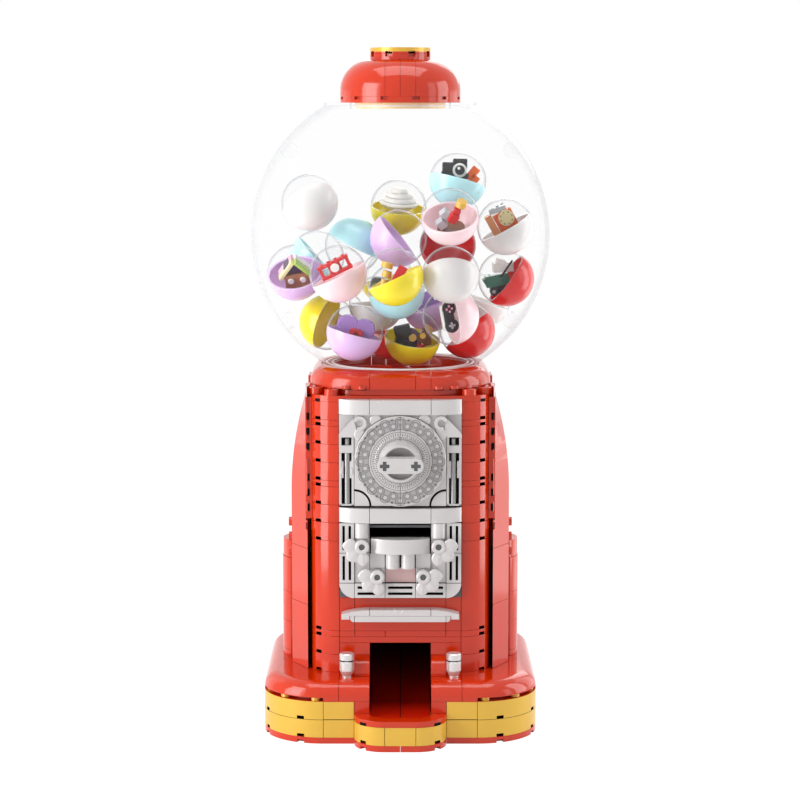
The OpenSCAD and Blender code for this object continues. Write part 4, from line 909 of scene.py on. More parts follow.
def linkage(side):
    """One linkage, on the right for side 1 and mirrored for -1."""
    low_z, back = UPPER_Z + 0.1, FACE_BACK_Y
    inner, outer = FACE_HALF - TILE_PITCH + 0.1, FACE_HALF - 0.1
    rod_x, block_z, window_z = 27.7, UPPER_Z + 28, UPPER_Z + 32
    top_z = UPPER_Z + 6 * TILE_PITCH
    bm = bmesh.new()
    bar(bm, LINK_SILVER, (inner, outer), (back - 0.8, back - 0.1), (low_z, top_z))
    # Black bars at the backs of the slot and of the window are painted shade.
    bar(bm, LINK_SHADE, (inner + 1.2, outer - 1.2), (back - 1.0, back - 0.7),
        (low_z + 0.8, block_z), edge=0.05)
    for x in (inner, outer - 1.3):
        bar(bm, LINK_SILVER, (x, x + 1.3), (FACE_Y + 0.2, back - 0.1), (low_z, block_z))
    bar(bm, LINK_SILVER, (inner, outer), (FACE_Y + 0.2, back - 0.1), (low_z, low_z + 0.9))
    round_part(bm, LINK_STEEL, (rod_x, FACE_Y + 1.5, (low_z + block_z) / 2 + 0.4), 1.4,
               block_z - low_z - 1.0)
    for x in (inner + 0.2, outer - 2.4):
        bar(bm, LINK_SILVER, (x, x + 2.2), (FACE_Y + 0.5, back - 0.1),
            (UPPER_Z + 14.6, UPPER_Z + 23.6), edge=0.4)
        bar(bm, LINK_SILVER, (x + 0.4, x + 1.8), (FACE_Y - 0.1, FACE_Y + 1),
            (UPPER_Z + 16.6, UPPER_Z + 20.4), edge=0.3)
    bar(bm, LINK_SILVER, (inner, outer), (FACE_Y - 0.3, back - 0.1), (block_z, window_z),
        edge=0.3)
    bar(bm, LINK_SHADE, (inner + 1.2, outer - 1.2), (back - 1.6, back - 0.7),
        (window_z - 0.2, window_z + 5.2), edge=0.05)
    round_part(bm, LINK_STEEL, (rod_x, FACE_Y + 1.8, window_z + 1.8), 1.2, 3.4)
    for x in (inner, outer - 1.3):
        bar(bm, LINK_SILVER, (x, x + 1.3), (FACE_Y - 0.3, back - 0.1),
            (window_z - 0.3, window_z + 5.2))
    arm(bm, FACE_Y - 1.4, 1.3, [
        (inner + 0.2, window_z + 4.4), (outer, window_z + 4.4), (outer, window_z + 6.2),
        (HOOK[0] + 3.4, HOOK[1] + 2.2), (HOOK[0] + 1.6, HOOK[1] - 2.6)])
    hook(bm, FACE_Y - 2.4, 2.3)
    bmesh.ops.remove_doubles(bm, verts=bm.verts, dist=MERGE)
    if side < 0:
        bmesh.ops.scale(bm, vec=(-1, 1, 1), verts=bm.verts)
    bmesh.ops.recalc_face_normals(bm, faces=bm.faces)
    name = "linkage_left" if side < 0 else "linkage_right"
    piece = stand_for(bm, name, (SILVER, STEEL, BLACK), "face_linkages")
    print(name, len(piece.data.polygons), "faces")


for side in (-1, 1):
    linkage(side)

# %% [markdown]
# The disc behind the handle carries a printed ring of beads, small arches and tick marks. A
# picture could hold such a print, but a pattern in the material stays sharp at every size.
# Distance from the disc's centre and the angle round it are worked out from the piece's own
# coordinates, so that the print turns with the disc.

# %% Node group: ornament ring
disc_low, disc_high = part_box("dial_right_half")
DISC_R = disc_high.x / MM
DISC_CENTRE = Vector((0, disc_low.y, (disc_low.z + disc_high.z) / 2))
BEADS = 16
OUTER_BEADS = DISC_R * 0.868
INNER_BEADS = DISC_R * 0.783
PRINT_GREY = (0.17, 0.165, 0.17)


def make_ornament_group():
    group, gin, gout = new_group("ornament_ring", [("Vector", "NodeSocketVector", None)],
                                 [("Mask", "NodeSocketFloat")])

    def op(operation, *values):
        return math_node(group, operation, *values)

    def near(value, wanted, reach):
        """1 where value is no further than reach from wanted, else 0."""
        return op("COMPARE", value, wanted, reach)

    def both(a, b):
        return op("MULTIPLY", a, b)

    def length(a, b):
        return op("SQRT", op("ADD", op("MULTIPLY", a, a), op("MULTIPLY", b, b)))

    axes = add_node(group, "SeparateXYZ", {0: gin.outputs["Vector"]})
    x = op("MULTIPLY", axes.outputs["X"], 1000.0)
    z = op("MULTIPLY", axes.outputs["Z"], 1000.0)
    radius = length(x, z)
    angle = op("ARCTAN2", z, x)

    def around(count, at_radius, shift=0.0):
        """Distance in mm along a ring from the nearest of count even places."""
        turns = op("MULTIPLY_ADD", angle, count / (2 * pi), count + 0.5 + shift)
        cell = op("SUBTRACT", op("FRACT", turns), 0.5)
        return op("MULTIPLY", cell, 2 * pi * at_radius / count)

    def distance(along, at_radius):
        """Distance in mm from the nearest of those places."""
        return length(along, op("SUBTRACT", radius, at_radius))

    to_outer = distance(around(BEADS, OUTER_BEADS), OUTER_BEADS)
    to_inner = distance(around(BEADS, INNER_BEADS, 0.5), INNER_BEADS)
    cusp = around(BEADS, DISC_R * 0.925, 0.5)
    ticks = around(72, DISC_R * 0.57)
    hooks = around(36, DISC_R * 0.53, 0.5)
    beyond = op("GREATER_THAN", radius, OUTER_BEADS - 1.2)
    before = op("LESS_THAN", radius, INNER_BEADS + 0.8)
    band = near(radius, (OUTER_BEADS + INNER_BEADS) / 2 - 0.3, 3.0)
    clear = both(op("GREATER_THAN", to_outer, 1.15), op("GREATER_THAN", to_inner, 1.15))
    marks = [
        op("MULTIPLY", both(band, clear), 0.42),
        near(to_outer, 1.2, 0.17), near(to_inner, 1.2, 0.17),
        both(near(to_outer, 2.5, 0.2), beyond), both(near(to_inner, 2.3, 0.18), before),
        near(distance(cusp, DISC_R * 0.925), 0.0, 0.62),
        near(to_outer, 1.8, 0.09), near(to_inner, 1.75, 0.09),
        near(radius, DISC_R * 0.70, 0.16), near(radius, DISC_R * 0.645, 0.14),
        both(near(ticks, 0.0, 0.16), near(radius, DISC_R * 0.585, 0.75)),
        near(distance(hooks, DISC_R * 0.52), 0.7, 0.14), near(radius, DISC_R * 0.49, 0.12)]
    mask = marks[0]
    for mark in marks[1:]:
        mask = op("MAXIMUM", mask, mark)
    feed(group, gout, {"Mask": mask})
    return group


ORNAMENT = make_ornament_group()
print("ornament group with", len(ORNAMENT.nodes), "nodes")

# %% [markdown]
# The disc's material is a copy of the silver one with a darker base. The ring's mask mixes the
# print's grey into its colour, and a Mapping node puts the pattern's middle on the disc's.

# %% Silver with the printed ring
DISC_SILVER = (0.52, 0.497, 0.497)


def printed_silver():
    material = SILVER.copy()
    material.name = "silver_with_ring"
    nt = material.node_tree
    shader = nt.nodes["Principled BSDF"]
    skin = node_of_type(nt, "GROUP")
    skin.inputs["Colour"].default_value = (*DISC_SILVER, 1)
    centred = add_node(nt, "Mapping", {
        "Vector": node_of_type(nt, "TEX_COORD").outputs["Object"], "Location": -DISC_CENTRE})
    ring = add_node(nt, "Group", {"Vector": centred.outputs["Vector"]}, node_tree=ORNAMENT)
    mix = add_node(nt, "Mix", {"Factor": ring.outputs["Mask"]}, data_type="RGBA")
    plain, printed = [socket for socket in mix.inputs if socket.type == "RGBA"]
    nt.links.new(skin.outputs["Colour"], plain)
    printed.default_value = (*PRINT_GREY, 1)
    mixed = next(socket for socket in mix.outputs if socket.type == "RGBA")
    feed(nt, shader, {"Base Color": mixed})
    return material


SILVER_RING = printed_silver()
print("silver with a ring of", BEADS, "beads, twice")

# %% [markdown]
# A round stud sits half behind the disc at each of its upper corners, twice. They are short
# cylinders whose front edge is bevelled until it is a low dome. What would lie over the disc is
# pushed out to its edge, so that the disc can turn freely.

# %% Studs behind the disc
FACE_STUD_R = 3.5
FACE_STUDS = [(12.7, 167.0), (21.0, 159.7)]
DISC_CLEARANCE = 0.35


def face_studs():
    """Four domed studs, with all that lies over the disc pushed out to its edge."""
    bm = bmesh.new()
    for x, z in FACE_STUDS:
        for side in (-1, 1):
            place = Matrix.Translation(Vector((side * x, FACE_Y - 0.6, z)) * MM)
            made = bmesh.ops.create_cone(
                bm, cap_ends=True, segments=32, radius1=FACE_STUD_R * MM,
                radius2=FACE_STUD_R * MM, depth=2.0 * MM,
                matrix=place @ Matrix.Rotation(radians(90), 4, "X"))
            front = min(v.co.y for v in made["verts"])
            rim = {e for v in made["verts"] for e in v.link_edges
                   if all(abs(w.co.y - front) < MERGE for w in e.verts)}
            bevel(bm, list(rim), 1.1, segments=4)
    clear_of_disc = (DISC_R + DISC_CLEARANCE) * MM
    for vert in bm.verts:
        out = Vector((vert.co.x - DISC_CENTRE.x, 0, vert.co.z - DISC_CENTRE.z))
        if out.length < clear_of_disc:
            vert.co += out.normalized() * (clear_of_disc - out.length)
    link_piece(bm, "face_studs", SILVER, "cabinet", slot_of_node("face_trim"))
    print(2 * len(FACE_STUDS), "studs behind the disc")


face_studs()

# %% [markdown]
# A wing nut here is a ring with three leaves. A leaf could be an outline with a thickness, but its
# sides would be flat. So each leaf is a flattened ball, drawn out to a point at its tip and raised
# along its middle into a vein. The ring is a turned tube.

# %% Wing nuts
NUT_HUB_R = 3.8
NUT_HOLE_R = 1.6
LEAF_REACH = 10.2
LEAF_START = 2.3
LEAF_DEPTH = 3.5
LEAVES = [(176, 3.5), (225, 3.7), (274, 3.0)]


def add_leaf(bm, direction, half_width):
    """One leaf from the hub outwards, along a direction in degrees."""
    made = bmesh.ops.create_uvsphere(bm, u_segments=28, v_segments=16, radius=1.0)
    half_length = (LEAF_REACH - LEAF_START) / 2
    for vert in made["verts"]:
        x, y, z = vert.co
        taper = (1.0 - 0.3 * max(0.0, x) ** 2) * (1.0 + 0.12 * (1 - x * x))
        vein = 0.2 * max(0.0, 1.0 - abs(z) / 0.2) * max(0.0, -y) * (1 - x * x)
        vert.co = Vector((LEAF_START + (x + 1) * half_length, y - vein - LEAF_DEPTH,
                          z * half_width * taper)) * MM
    turn = Matrix.Rotation(-radians(direction), 4, "Y")
    bmesh.ops.transform(bm, matrix=turn, verts=made["verts"])


def add_tube(bm, outer, hole, depth):
    """A ring with a round front edge, turned about the nut's axis."""
    loop = [bm.verts.new(Vector(p) * MM) for p in [
        (hole, 0, 0), (hole, 0.3 - depth, 0), (hole + 0.3, -depth, 0),
        (outer - 0.8, -depth, 0), (outer - 0.2, 0.3 - depth, 0), (outer, 0.9 - depth, 0),
        (outer, 0, 0)]]
    edges = [bm.edges.new((a, b)) for a, b in zip(loop, loop[1:] + loop[:1])]
    bmesh.ops.spin(bm, geom=loop + edges, cent=(0, 0, 0), axis=(0, 1, 0), angle=2 * pi,
                   steps=36, use_merge=True)


def wing_nut(node, name, mirrored):
    pin = NUT_PINS[body_of_node(node)]
    low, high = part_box(node)
    bm = bmesh.new()
    add_tube(bm, NUT_HUB_R, NUT_HOLE_R, (high.y - low.y) / MM)
    for direction, half_width in LEAVES:
        add_leaf(bm, direction, half_width)
    place = Matrix.Translation((pin.x, high.y, pin.z))
    if mirrored:
        place = place @ Matrix.Scale(-1, 4, (1, 0, 0))
    bmesh.ops.transform(bm, matrix=place, verts=bm.verts)
    bmesh.ops.remove_doubles(bm, verts=bm.verts, dist=MERGE)
    bmesh.ops.recalc_face_normals(bm, faces=bm.faces)
    return stand_for(bm, name, SILVER, node)


for side, mirrored in [("left", False), ("right", True)]:
    for row in ("upper", "lower"):
        nut = wing_nut(f"wing_nut_{row}_{side}", f"nut_{row}_{side}_leaves", mirrored)
        print(nut.name, len(nut.data.polygons), "faces")

# %% [markdown]
# The dial turns an axle, and a pair of bevel gears passes its turn on to the upright shaft of
# the rotor under the globe. These solids already have their real shapes in the frame, so they
# only get soft edges and their plastics.

# %% Dial and drive
for node, name, material, width in [
        ("dial_left_half", "disc_left", SILVER_RING, 0.2),
        ("dial_right_half", "disc_right", SILVER_RING, 0.2),
        ("dial_hub", "hub_cup", SILVER, 0.25), ("dial_handle", "handle", SILVER, 0.3),
        ("dial_pins", "handle_pins", DARK_GREY, 0.1), ("dial_axle", "axle", DARK_GREY, 0.2),
        ("dial_gear", "bevel_on_axle", DARK_GREY, 0.1),
        ("rotor_gear", "bevel_on_shaft", DARK_GREY, 0.1),
        ("rotor_shaft", "shaft", DARK_GREY, 0.2), ("rotor", "rotor_wheel", RED, 0.3),
        ("bearing_beams", "beams", DARK_GREY, 0.2), ("coin_box", "coin_tray", BLACK, 0.2)]:
    dress(node, name, material, width)

# %% [markdown]
# A clear shell is shown by its outer surface alone. A modelled wall has an inner and an outer
# surface, and with many shells one behind another a ray would have to pass dozens of them,
# which turns the far ones black. So the faces that look inwards are taken off each copy.

# %% Clear shells
def facing_inwards(faces, centre):
    """The faces that look towards the centre."""
    return [f for f in faces
            if f.normal.dot((f.calc_center_median() - centre).normalized()) < -0.5]


globe_low, globe_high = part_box("globe_front")
GLOBE_R = (globe_high.x - globe_low.x) / 2
for half in ("front", "rear"):
    shell = copy_of_node(f"globe_{half}")
    shell.normal_update()
    widest = max(shell.verts, key=lambda v: abs(v.co.x)).co.z
    inner = facing_inwards(shell.faces, Vector((0, 0, widest)))
    bmesh.ops.delete(shell, geom=inner, context="FACES")
    stand_for(shell, f"globe_half_{half}", CLEAR_GLOBE, f"globe_{half}")
    print(half, "half: radius", round(GLOBE_R / MM, 1), "widest at", round(widest / MM, 1))

# %% [markdown]
# The thick lower edge of the globe catches light and shows as pale rings. Clear walls that bend
# light could show them too, but would take far longer to render and would dull the capsules. So
# two thin wires, each a small circle spun round the globe's axis, stand for them.

# %% The globe's lower edge
NECK_Z = globe_low.z + 1.2 * MM
neck = copy_of_node("globe_front")
NECK_R = max(Vector((v.co.x, v.co.y)).length for v in neck.verts if v.co.z < NECK_Z + 0.5 * MM)
neck.free()
NECK_WIRES = [(0.55, 0.55), (3.4, 0.35)]
wires = bmesh.new()
for inwards, radius in NECK_WIRES:
    place = Matrix.Translation((NECK_R - inwards * MM, 0, NECK_Z))
    made = bmesh.ops.create_circle(wires, segments=10, radius=radius * MM,
                                   matrix=place @ Matrix.Rotation(radians(90), 4, "X"))
    edges = list({edge for vert in made["verts"] for edge in vert.link_edges})
    bmesh.ops.spin(wires, geom=made["verts"] + edges, cent=(0, 0, 0), axis=(0, 0, 1),
                   angle=2 * pi, steps=128, use_merge=True, use_duplicate=False)
bmesh.ops.remove_doubles(wires, verts=wires.verts, dist=MERGE)
bmesh.ops.recalc_face_normals(wires, faces=wires.faces)
stand_for(wires, "globe_neck_highlight", NECK_HIGHLIGHT, "globe_front")
print("the globe's lower edge: radius", round(NECK_R / MM, 1), "at", round(NECK_Z / MM, 1))

# %% [markdown]
# Gold and red share one lid solid, so it is cut level first and then painted between the cuts: a
# thin gold top on a red plate with notches of painted black shade, and a ring under the dome that
# looks pale through the clear collar, a sheen painted on in pale gold and white. The dome's three
# joints are cut and painted in the same way.

# %% Collar and lid
# Pale gold and white stand for the clear collar's sheen, painted on the ring under the dome.
GOLD_SHEEN = plastic("gold_painted_sheen", (0.86, 0.70, 0.34), roughness=0.3)
WHITE_SHEEN = plastic("white_painted_sheen", (0.88, 0.86, 0.80), roughness=0.3)
RING_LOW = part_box("lid_gold_plates")[0].z / MM
CAP_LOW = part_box("lid_gold_plates")[1].z / MM - 2.2
PLATE_LOW = RING_LOW + 10
STRIPE_LOW, STRIPE_HIGH = RING_LOW + 1.0, RING_LOW + 2.0
CAP_R = 15.4
DOME_SEAM = 0.16
DOME_JOINTS = (-TILE_PITCH, 0, TILE_PITCH)


def cut_flat(bm, at, normal):
    """Cuts all faces along a plane and keeps both sides."""
    bmesh.ops.bisect_plane(bm, geom=bm.verts[:] + bm.edges[:] + bm.faces[:],
                           plane_co=Vector(at) * MM, plane_no=normal)


def cut_gold(bm):
    """Level cuts: two in the ring under the dome and one in the plate on top."""
    for z in (STRIPE_LOW, STRIPE_HIGH, CAP_LOW):
        cut_flat(bm, (0, 0, z), (0, 0, 1))


def gold_levels(centre, normal):
    """Gold, red and black painted shade for the plate on top, and pale gold and white, a painted
    sheen, for the ring.
    """
    if centre.z > CAP_LOW:
        return 0
    if centre.z > PLATE_LOW:
        in_notch = sqrt(centre.x ** 2 + centre.y ** 2) < CAP_R and abs(normal.z) < 0.9
        return 2 if in_notch else 1
    return 4 if STRIPE_LOW < centre.z < STRIPE_HIGH else 3


def cut_dome(bm):
    """Cuts a thin strip into the dome at each joint between its bricks."""
    for x in DOME_JOINTS:
        for edge in (x - DOME_SEAM / 2, x + DOME_SEAM / 2):
            cut_flat(bm, (edge, 0, 0), (1, 0, 0))


def dark_joint(centre, normal):
    return 1 if min(abs(centre.x - x) for x in DOME_JOINTS) < DOME_SEAM / 2 else 0


dress("globe_collar", "collar", CLEAR_GLOBE, 0.2)
dress("lid_plates", "lid_red_plates", RED, 0.2)
dress("lid_gold_plates", "lid_gold", (GOLD, RED, BLACK, GOLD_SHEEN, WHITE_SHEEN), 0.2,
      paint=gold_levels, shape=cut_gold)
dress("lid_dome", "dome", (RED, RED_INSIDE), 0.2, paint=dark_joint, shape=cut_dome)

# %% [markdown]
# A capsule is two half balls that meet at a rim. Where each one sits and which way it leans is
# read from its clear half: the rim is its largest flat face, so the rim's middle is the
# capsule's centre and the rim's normal points away from the clear dome.

# %% Capsules: places and clear domes
def capsule_frames():
    """For each capsule, the matrix from its own frame (clear half up) to the machine's."""
    bm = copy_of_node("capsule_clear_halves")
    bm.normal_update()
    found = []
    for island in loose_solids(bm):
        by_normal = {}
        for face in island:
            key = tuple(round(c, 2) for c in face.normal)
            by_normal.setdefault(key, []).append(face)
        rim = max(by_normal.values(), key=lambda faces: sum(f.calc_area() for f in faces))
        area = sum(f.calc_area() for f in rim)
        middle = sum((f.calc_center_median() * f.calc_area() for f in rim), Vector()) / area
        up = -sum((f.normal * f.calc_area() for f in rim), Vector()).normalized()
        lean = asin(max(-1.0, min(1.0, -up.y)))
        turn = atan2(up.x, up.z)
        found.append(Matrix.Translation(middle) @ Matrix.Rotation(turn, 4, "Y")
                     @ Matrix.Rotation(lean, 4, "X"))
    bm.free()
    return found


def middle_of(island):
    """The mean of a solid's corner points."""
    points = {vert for face in island for vert in face.verts}
    return sum((vert.co for vert in points), Vector()) / len(points)


def nearest_capsule(point):
    return min(CAPSULES, key=lambda place: (place.translation - point).length)


CAPSULES = capsule_frames()
domes = copy_of_node("capsule_clear_halves")
domes.normal_update()
inner = []
for island in loose_solids(domes):
    inner += facing_inwards(island, nearest_capsule(middle_of(island)).translation)
bmesh.ops.delete(domes, geom=inner, context="FACES")
stand_for(domes, "clear_halves", CLEAR_CAPSULE, "capsule_clear_halves")
print(len(CAPSULES), "capsules; first at",
      [round(v / MM, 1) for v in CAPSULES[0].translation])

# %% [markdown]
# The cups are milky plastic in six colours. Light that wanders a little way inside them softens
# their shadows.

# %% Capsule cups
CUP_COLOURS = {"white": (0.72, 0.71, 0.70), "yellow": (0.93, 0.73, 0.015),
               "blue": (0.46, 0.80, 0.87), "purple": (0.68, 0.47, 0.80),
               "pink": (0.97, 0.66, 0.70), "red": (0.66, 0.012, 0.010)}
for name, colour in CUP_COLOURS.items():
    cup = plastic(f"capsule_cups_{name}", colour, roughness=0.2, subsurface=0.5)
    dress(f"capsule_cups_{name}", f"cups_{name}", cup, 0.1)

# %% [markdown]
# Twelve capsules hold a small toy built from bricks. Each toy is put together in its capsule's
# own frame from bevelled blocks and turned rounds, and then laid into its capsule.

# %% Toy bricks
TOY_COLOURS = {
    "white": (0.86, 0.85, 0.82), "black": (0.012, 0.012, 0.014), "orange": (0.80, 0.13, 0.02),
    "red": (0.62, 0.012, 0.012), "silver": (0.50, 0.52, 0.55), "gold": (0.72, 0.42, 0.05),
    "tan": (0.66, 0.27, 0.10), "cream": (0.78, 0.68, 0.36), "brown": (0.20, 0.065, 0.025),
    "green": (0.03, 0.16, 0.10), "lime": (0.42, 0.62, 0.10), "lilac": (0.36, 0.20, 0.56),
    "pink": (0.82, 0.40, 0.52), "yellow": (0.90, 0.68, 0.03), "clay": (0.42, 0.17, 0.075),
    "plum": (0.055, 0.02, 0.075)}
TOY_NAMES = list(TOY_COLOURS)
TOY_MATERIALS = [plastic("toy_" + name, colour, roughness=0.25)
                 for name, colour in TOY_COLOURS.items()]


def toy_block(bm, colour, at, size, **how):
    block(bm, TOY_NAMES.index(colour), at, size, **how)


def toy_round(bm, colour, at, radius, height, **how):
    round_part(bm, TOY_NAMES.index(colour), at, radius, height, **how)


def toy_studs(bm, colour, places, z):
    for x, y in places:
        toy_round(bm, colour, (x, y, z), 0.9, 0.8, edge=0.1)


print(len(TOY_MATERIALS), "toy colours")

# %% [markdown]
# Each toy is a short list of blocks and rounds. The capsule's centre is the origin and z points
# into the clear half.

# %% Toys: saucer, bird with a camera, gems, radio and house
def saucer(bm):
    toy_round(bm, "white", (0, 0, -7.4), 5.6, 2.2)
    toy_round(bm, "white", (0, 0, -4.0), 2.4, 6.0)
    toy_round(bm, "white", (0, 0, 0.2), 5.4, 3.0, top=10.2)
    toy_round(bm, "white", (0, 0, 2.8), 10.4, 2.0, edge=0.8)
    toy_round(bm, "white", (0, 0, 5.0), 9.6, 2.2, top=9.0, edge=0.8)
    toy_round(bm, "white", (0, 0, 7.2), 7.6, 2.2, top=6.8, edge=0.8)
    toy_round(bm, "white", (0, 0, 9.4), 5.0, 2.2, top=3.6, edge=0.8)


def camera_bird(bm):
    toy_round(bm, "black", (0, 0, -8.4), 7.5, 2.0)
    toy_block(bm, "black", (-1.8, 0, -2.0), (14, 7, 11), turn=-8)
    toy_block(bm, "black", (-3.4, 0, 5.4), (12.5, 7, 6), turn=-14)
    toy_block(bm, "black", (-1.2, 0, 8.6), (7.4, 6.4, 5), turn=-14, edge=0.6)
    toy_round(bm, "white", (-0.6, -3.9, 4.9), 3.7, 1.2, tip=90)
    toy_round(bm, "black", (-0.6, -4.7, 4.9), 2.5, 1.0, tip=90)
    toy_round(bm, "white", (-1.3, -5.3, 5.6), 0.8, 0.6, tip=90)
    toy_block(bm, "orange", (6.0, 0.6, 4.4), (4.4, 6.0, 9.4), turn=24, edge=0.4)
    toy_block(bm, "orange", (8.0, 0.6, 2.6), (4.6, 6.0, 4.2), turn=24, edge=0.4)
    toy_block(bm, "white", (4.2, -1.2, -2.6), (3.0, 5.0, 8.0), turn=-8)


def gems(bm):
    toy_round(bm, "brown", (0, 0, -7.6), 7.2, 2.4)
    toy_block(bm, "silver", (-4.6, -1.4, -2.6), (4.6, 4.6, 4.6), turn=-38)
    toy_block(bm, "silver", (-2.6, 0, 2.0), (4.0, 4.4, 4.4), turn=-38)
    toy_block(bm, "red", (1.6, -2.4, 0.8), (5.0, 4.2, 5.4), turn=32, edge=0.9)
    toy_block(bm, "red", (3.8, -1.4, 4.2), (3.6, 3.6, 3.6), turn=12, edge=0.8)
    toy_round(bm, "gold", (6.2, -0.6, 7.6), 2.7, 3.6, tip=24, about="Y")
    toy_studs(bm, "brown", [(-3.6, -4.2), (1.2, -4.8), (4.6, -3.2)], -6.1)


def radio(bm):
    toy_block(bm, "brown", (0.4, 0.5, -4.6), (11, 6, 6.6))
    toy_block(bm, "tan", (-5.6, 0, 2.4), (3.8, 7.2, 14.2))
    toy_block(bm, "orange", (1.8, 0.4, 3.4), (10.4, 6.0, 9.4))
    toy_round(bm, "cream", (2.6, -3.2, 4.2), 4.2, 1.2, tip=90)
    for k in range(8):
        turn = Matrix.Rotation(radians(45 * k), 3, "Y")
        mark = Vector((2.6, -3.9, 4.2)) + turn @ Vector((3.2, 0, 0))
        toy_round(bm, "brown", mark, 0.35, 0.3, tip=90, edge=0.05)
    toy_block(bm, "silver", (0.6, 0.2, 9.8), (9.0, 4.4, 2.6), turn=10)
    toy_studs(bm, "silver", [(-1.8, 0.2), (1.4, 0.2), (4.2, 0.2)], 11.4)


def house(bm):
    toy_block(bm, "clay", (0.6, 0, -3.4), (13, 8.4, 9.6))
    toy_block(bm, "plum", (0, 0.4, 4.0), (9.0, 6.4, 7.0), turn=45)
    for y, colour in [(-2.8, "cream"), (1.6, "pink")]:
        toy_block(bm, colour, (-4.2, y, 4.4), (1.8, 4.2, 12.6), turn=40)
    for y, colour in [(-2.8, "lime"), (1.6, "white")]:
        toy_block(bm, colour, (4.6, y, 4.4), (1.8, 4.2, 12.0), turn=-38)
    for x in (-2.6, 3.8):
        toy_round(bm, "white", (x, -4.6, -2.0), 1.7, 1.4, tip=90, edge=0.6)
    toy_studs(bm, "clay", [(-4.6, -5.2)], -7.0)


print("five toys")

# %% [markdown]
# The other seven toys are built in the same way. Two of them share one shape in two colours.

# %% Toys: lattices, heart, player, controller, truck and burger
def lattice(bm, colour, light):
    toy_block(bm, light, (0, 0, -5.2), (14, 6.6, 5.0))
    for z in (0.8, 6.6):
        toy_block(bm, colour, (0, 0, z), (17, 6.2, 1.8))
    for x in (-7.4, -2.5, 2.5, 7.4):
        toy_block(bm, colour, (x, -1.0, 3.7), (1.7, 3.4, 5.0))
    toy_round(bm, light, (0, -2.6, 3.8), 2.3, 2.0, tip=90)
    toy_studs(bm, colour, [(-6, 0), (-2, 0), (2, 0), (6, 0)], 7.8)


def lattice_red(bm):
    lattice(bm, "red", "white")


def lattice_purple(bm):
    lattice(bm, "lilac", "lilac")


def heart(bm):
    for x in (-4.5, 4.5):
        toy_round(bm, "lilac", (x, 0.8, 2.8), 5.6, 6.8, tip=90, edge=1.0)
        toy_block(bm, "lilac", (x * 0.6, 0.8, -3.0), (7.6, 6.4, 7.0), turn=x * 4)
    for x in (-1.5, 1.5):
        toy_round(bm, "red", (x + 0.8, -3.6, 0.4), 2.1, 1.8, tip=90)
    toy_block(bm, "red", (0.8, -3.6, -1.2), (3.3, 1.8, 3.3), turn=45)


def player(bm):
    toy_block(bm, "black", (-2.2, 0, -3.6), (14, 9.4, 4.6), turn=8)
    toy_block(bm, "black", (-5.2, -2.4, 2.4), (8.6, 3.0, 9.4), turn=-22)
    toy_round(bm, "plum", (-2.2, 0.6, 0.4), 5.6, 2.0, tip=24)
    toy_round(bm, "gold", (0.0, -3.6, 1.2), 2.1, 1.4, tip=72)
    toy_block(bm, "brown", (5.4, -1.2, 2.4), (4.6, 4.6, 6.4), turn=30)
    toy_block(bm, "brown", (8.0, -0.4, -0.8), (4.4, 4.4, 3.6), turn=-20)
    toy_round(bm, "gold", (5.2, -3.8, 3.2), 1.6, 1.6, tip=80)
    toy_round(bm, "gold", (7.2, 1.2, 4.4), 1.3, 4.8, top=3.0, tip=34, about="Y")
    toy_block(bm, "red", (5.0, -4.6, -3.0), (4.4, 2.6, 2.8), turn=20)


def controller(bm):
    toy_block(bm, "white", (0, 0.6, -3.2), (11.4, 4.6, 5.0))
    toy_block(bm, "white", (0, 0, 1.4), (13.6, 4.0, 7.6), edge=1.2)
    for x in (-4.6, 4.6):
        toy_round(bm, "black", (x, -2.0, 0.8), 3.7, 1.8, tip=90)
    toy_block(bm, "black", (0, -1.9, 1.4), (9.0, 1.6, 5.6), edge=0.5)
    for size in [(3.4, 0.6, 1.1), (1.1, 0.6, 3.4)]:
        toy_block(bm, "silver", (-4.4, -3.1, 0.9), size, edge=0.1)
    for x, z in [(4.4, 2.3), (4.4, -0.5), (3.0, 0.9), (5.8, 0.9)]:
        toy_round(bm, "pink", (x, -3.1, z), 0.65, 0.5, tip=90, edge=0.1)


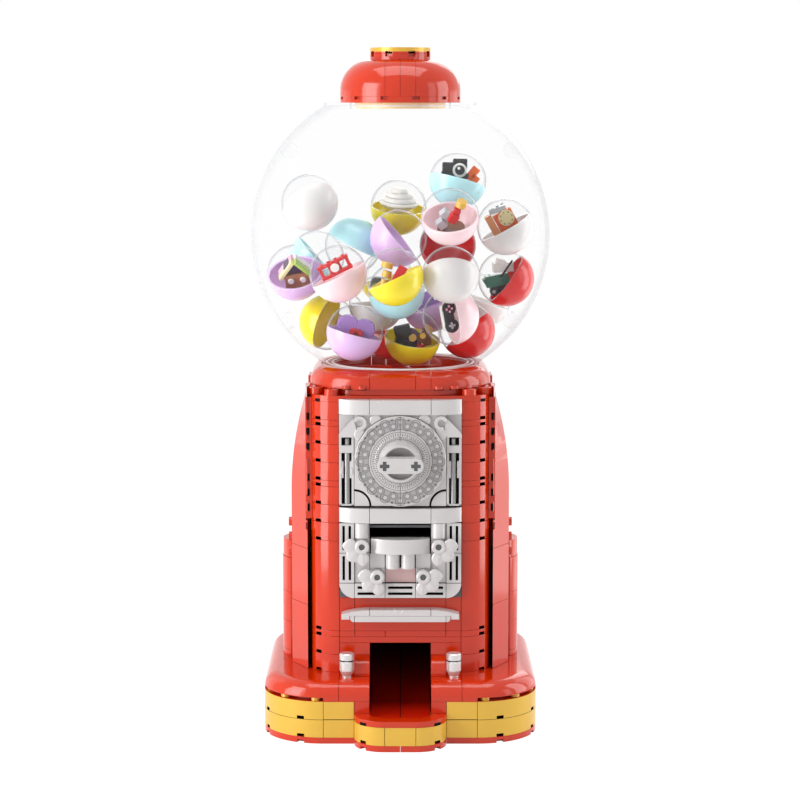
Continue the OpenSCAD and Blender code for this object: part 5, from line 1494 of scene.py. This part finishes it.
def truck(bm):
    toy_block(bm, "black", (-7.0, 0, -0.2), (9.0, 6.0, 3.6), turn=50)
    for x, z in [(-9.2, 1.6), (-6.2, -2.6)]:
        toy_round(bm, "black", (x, -3.4, z), 2.2, 2.2, tip=90)
        toy_round(bm, "silver", (x, -4.6, z), 0.9, 0.4, tip=90, edge=0.1)
    toy_block(bm, "green", (-3.4, 0, 3.4), (12.5, 7.0, 6.0), turn=44)
    toy_block(bm, "green", (-6.4, 0.4, 7.0), (5.0, 6.0, 4.0), turn=20)
    toy_block(bm, "white", (4.0, 0, 5.0), (11.0, 6.0, 5.0), turn=50, edge=0.4)
    toy_block(bm, "white", (5.4, 0, 7.4), (5.0, 5.6, 3.4), turn=72, edge=0.4)
    toy_round(bm, "black", (4.4, -3.9, 3.4), 0.5, 11.0, edge=0.1, tip=88, about="Y")


def burger(bm):
    toy_round(bm, "tan", (0, 0, -6.6), 8.4, 3.0, top=8.8)
    toy_round(bm, "green", (0, 0, -4.5), 9.2, 1.2)
    toy_block(bm, "red", (2.8, -3.6, 0.2), (9.6, 5.0, 4.6), turn=-36)
    toy_round(bm, "gold", (-2.8, -3.4, 3.2), 2.4, 3.4, tip=40, about="Y")
    toy_round(bm, "gold", (-0.6, -3.4, 7.2), 3.0, 3.0, tip=40, about="Y")
    toy_round(bm, "gold", (-6.0, -2.4, -0.6), 2.0, 4.0, tip=40, about="Y")
    toy_block(bm, "black", (-7.2, -1.0, -3.0), (4.6, 5.0, 3.4), turn=-30)


print("seven more toys")

# %% [markdown]
# The frame has a plain solid in the place of each toy. Each toy is laid into the capsule that is
# nearest to its solid, so it leans and turns with its capsule.

# %% Toys in their capsules
TOYS_LEFT_TO_RIGHT = [house, lattice_red, heart, saucer, burger, player, lattice_purple, gems,
                      camera_bird, controller, radio, truck]


def toy_places():
    """The frames of the capsules that hold a toy, from left to right."""
    bm = copy_of_node("capsule_toys")
    found = []
    for island in loose_solids(bm):
        left = min(vert.co.x for face in island for vert in face.verts)
        found.append((left, nearest_capsule(middle_of(island))))
    bm.free()
    return [capsule for left, capsule in sorted(found, key=lambda pair: pair[0])]


for place, build in zip(toy_places(), TOYS_LEFT_TO_RIGHT):
    bm = bmesh.new()
    build(bm)
    reach = max(v.co.length for v in bm.verts) / MM
    bmesh.ops.transform(bm, matrix=place, verts=bm.verts)
    bmesh.ops.recalc_face_normals(bm, faces=bm.faces)
    toy = stand_for(bm, "toy_" + build.__name__, TOY_MATERIALS, "capsule_toys")
    print(f"{toy.name}: reaches {reach:.1f} mm from its capsule's centre")
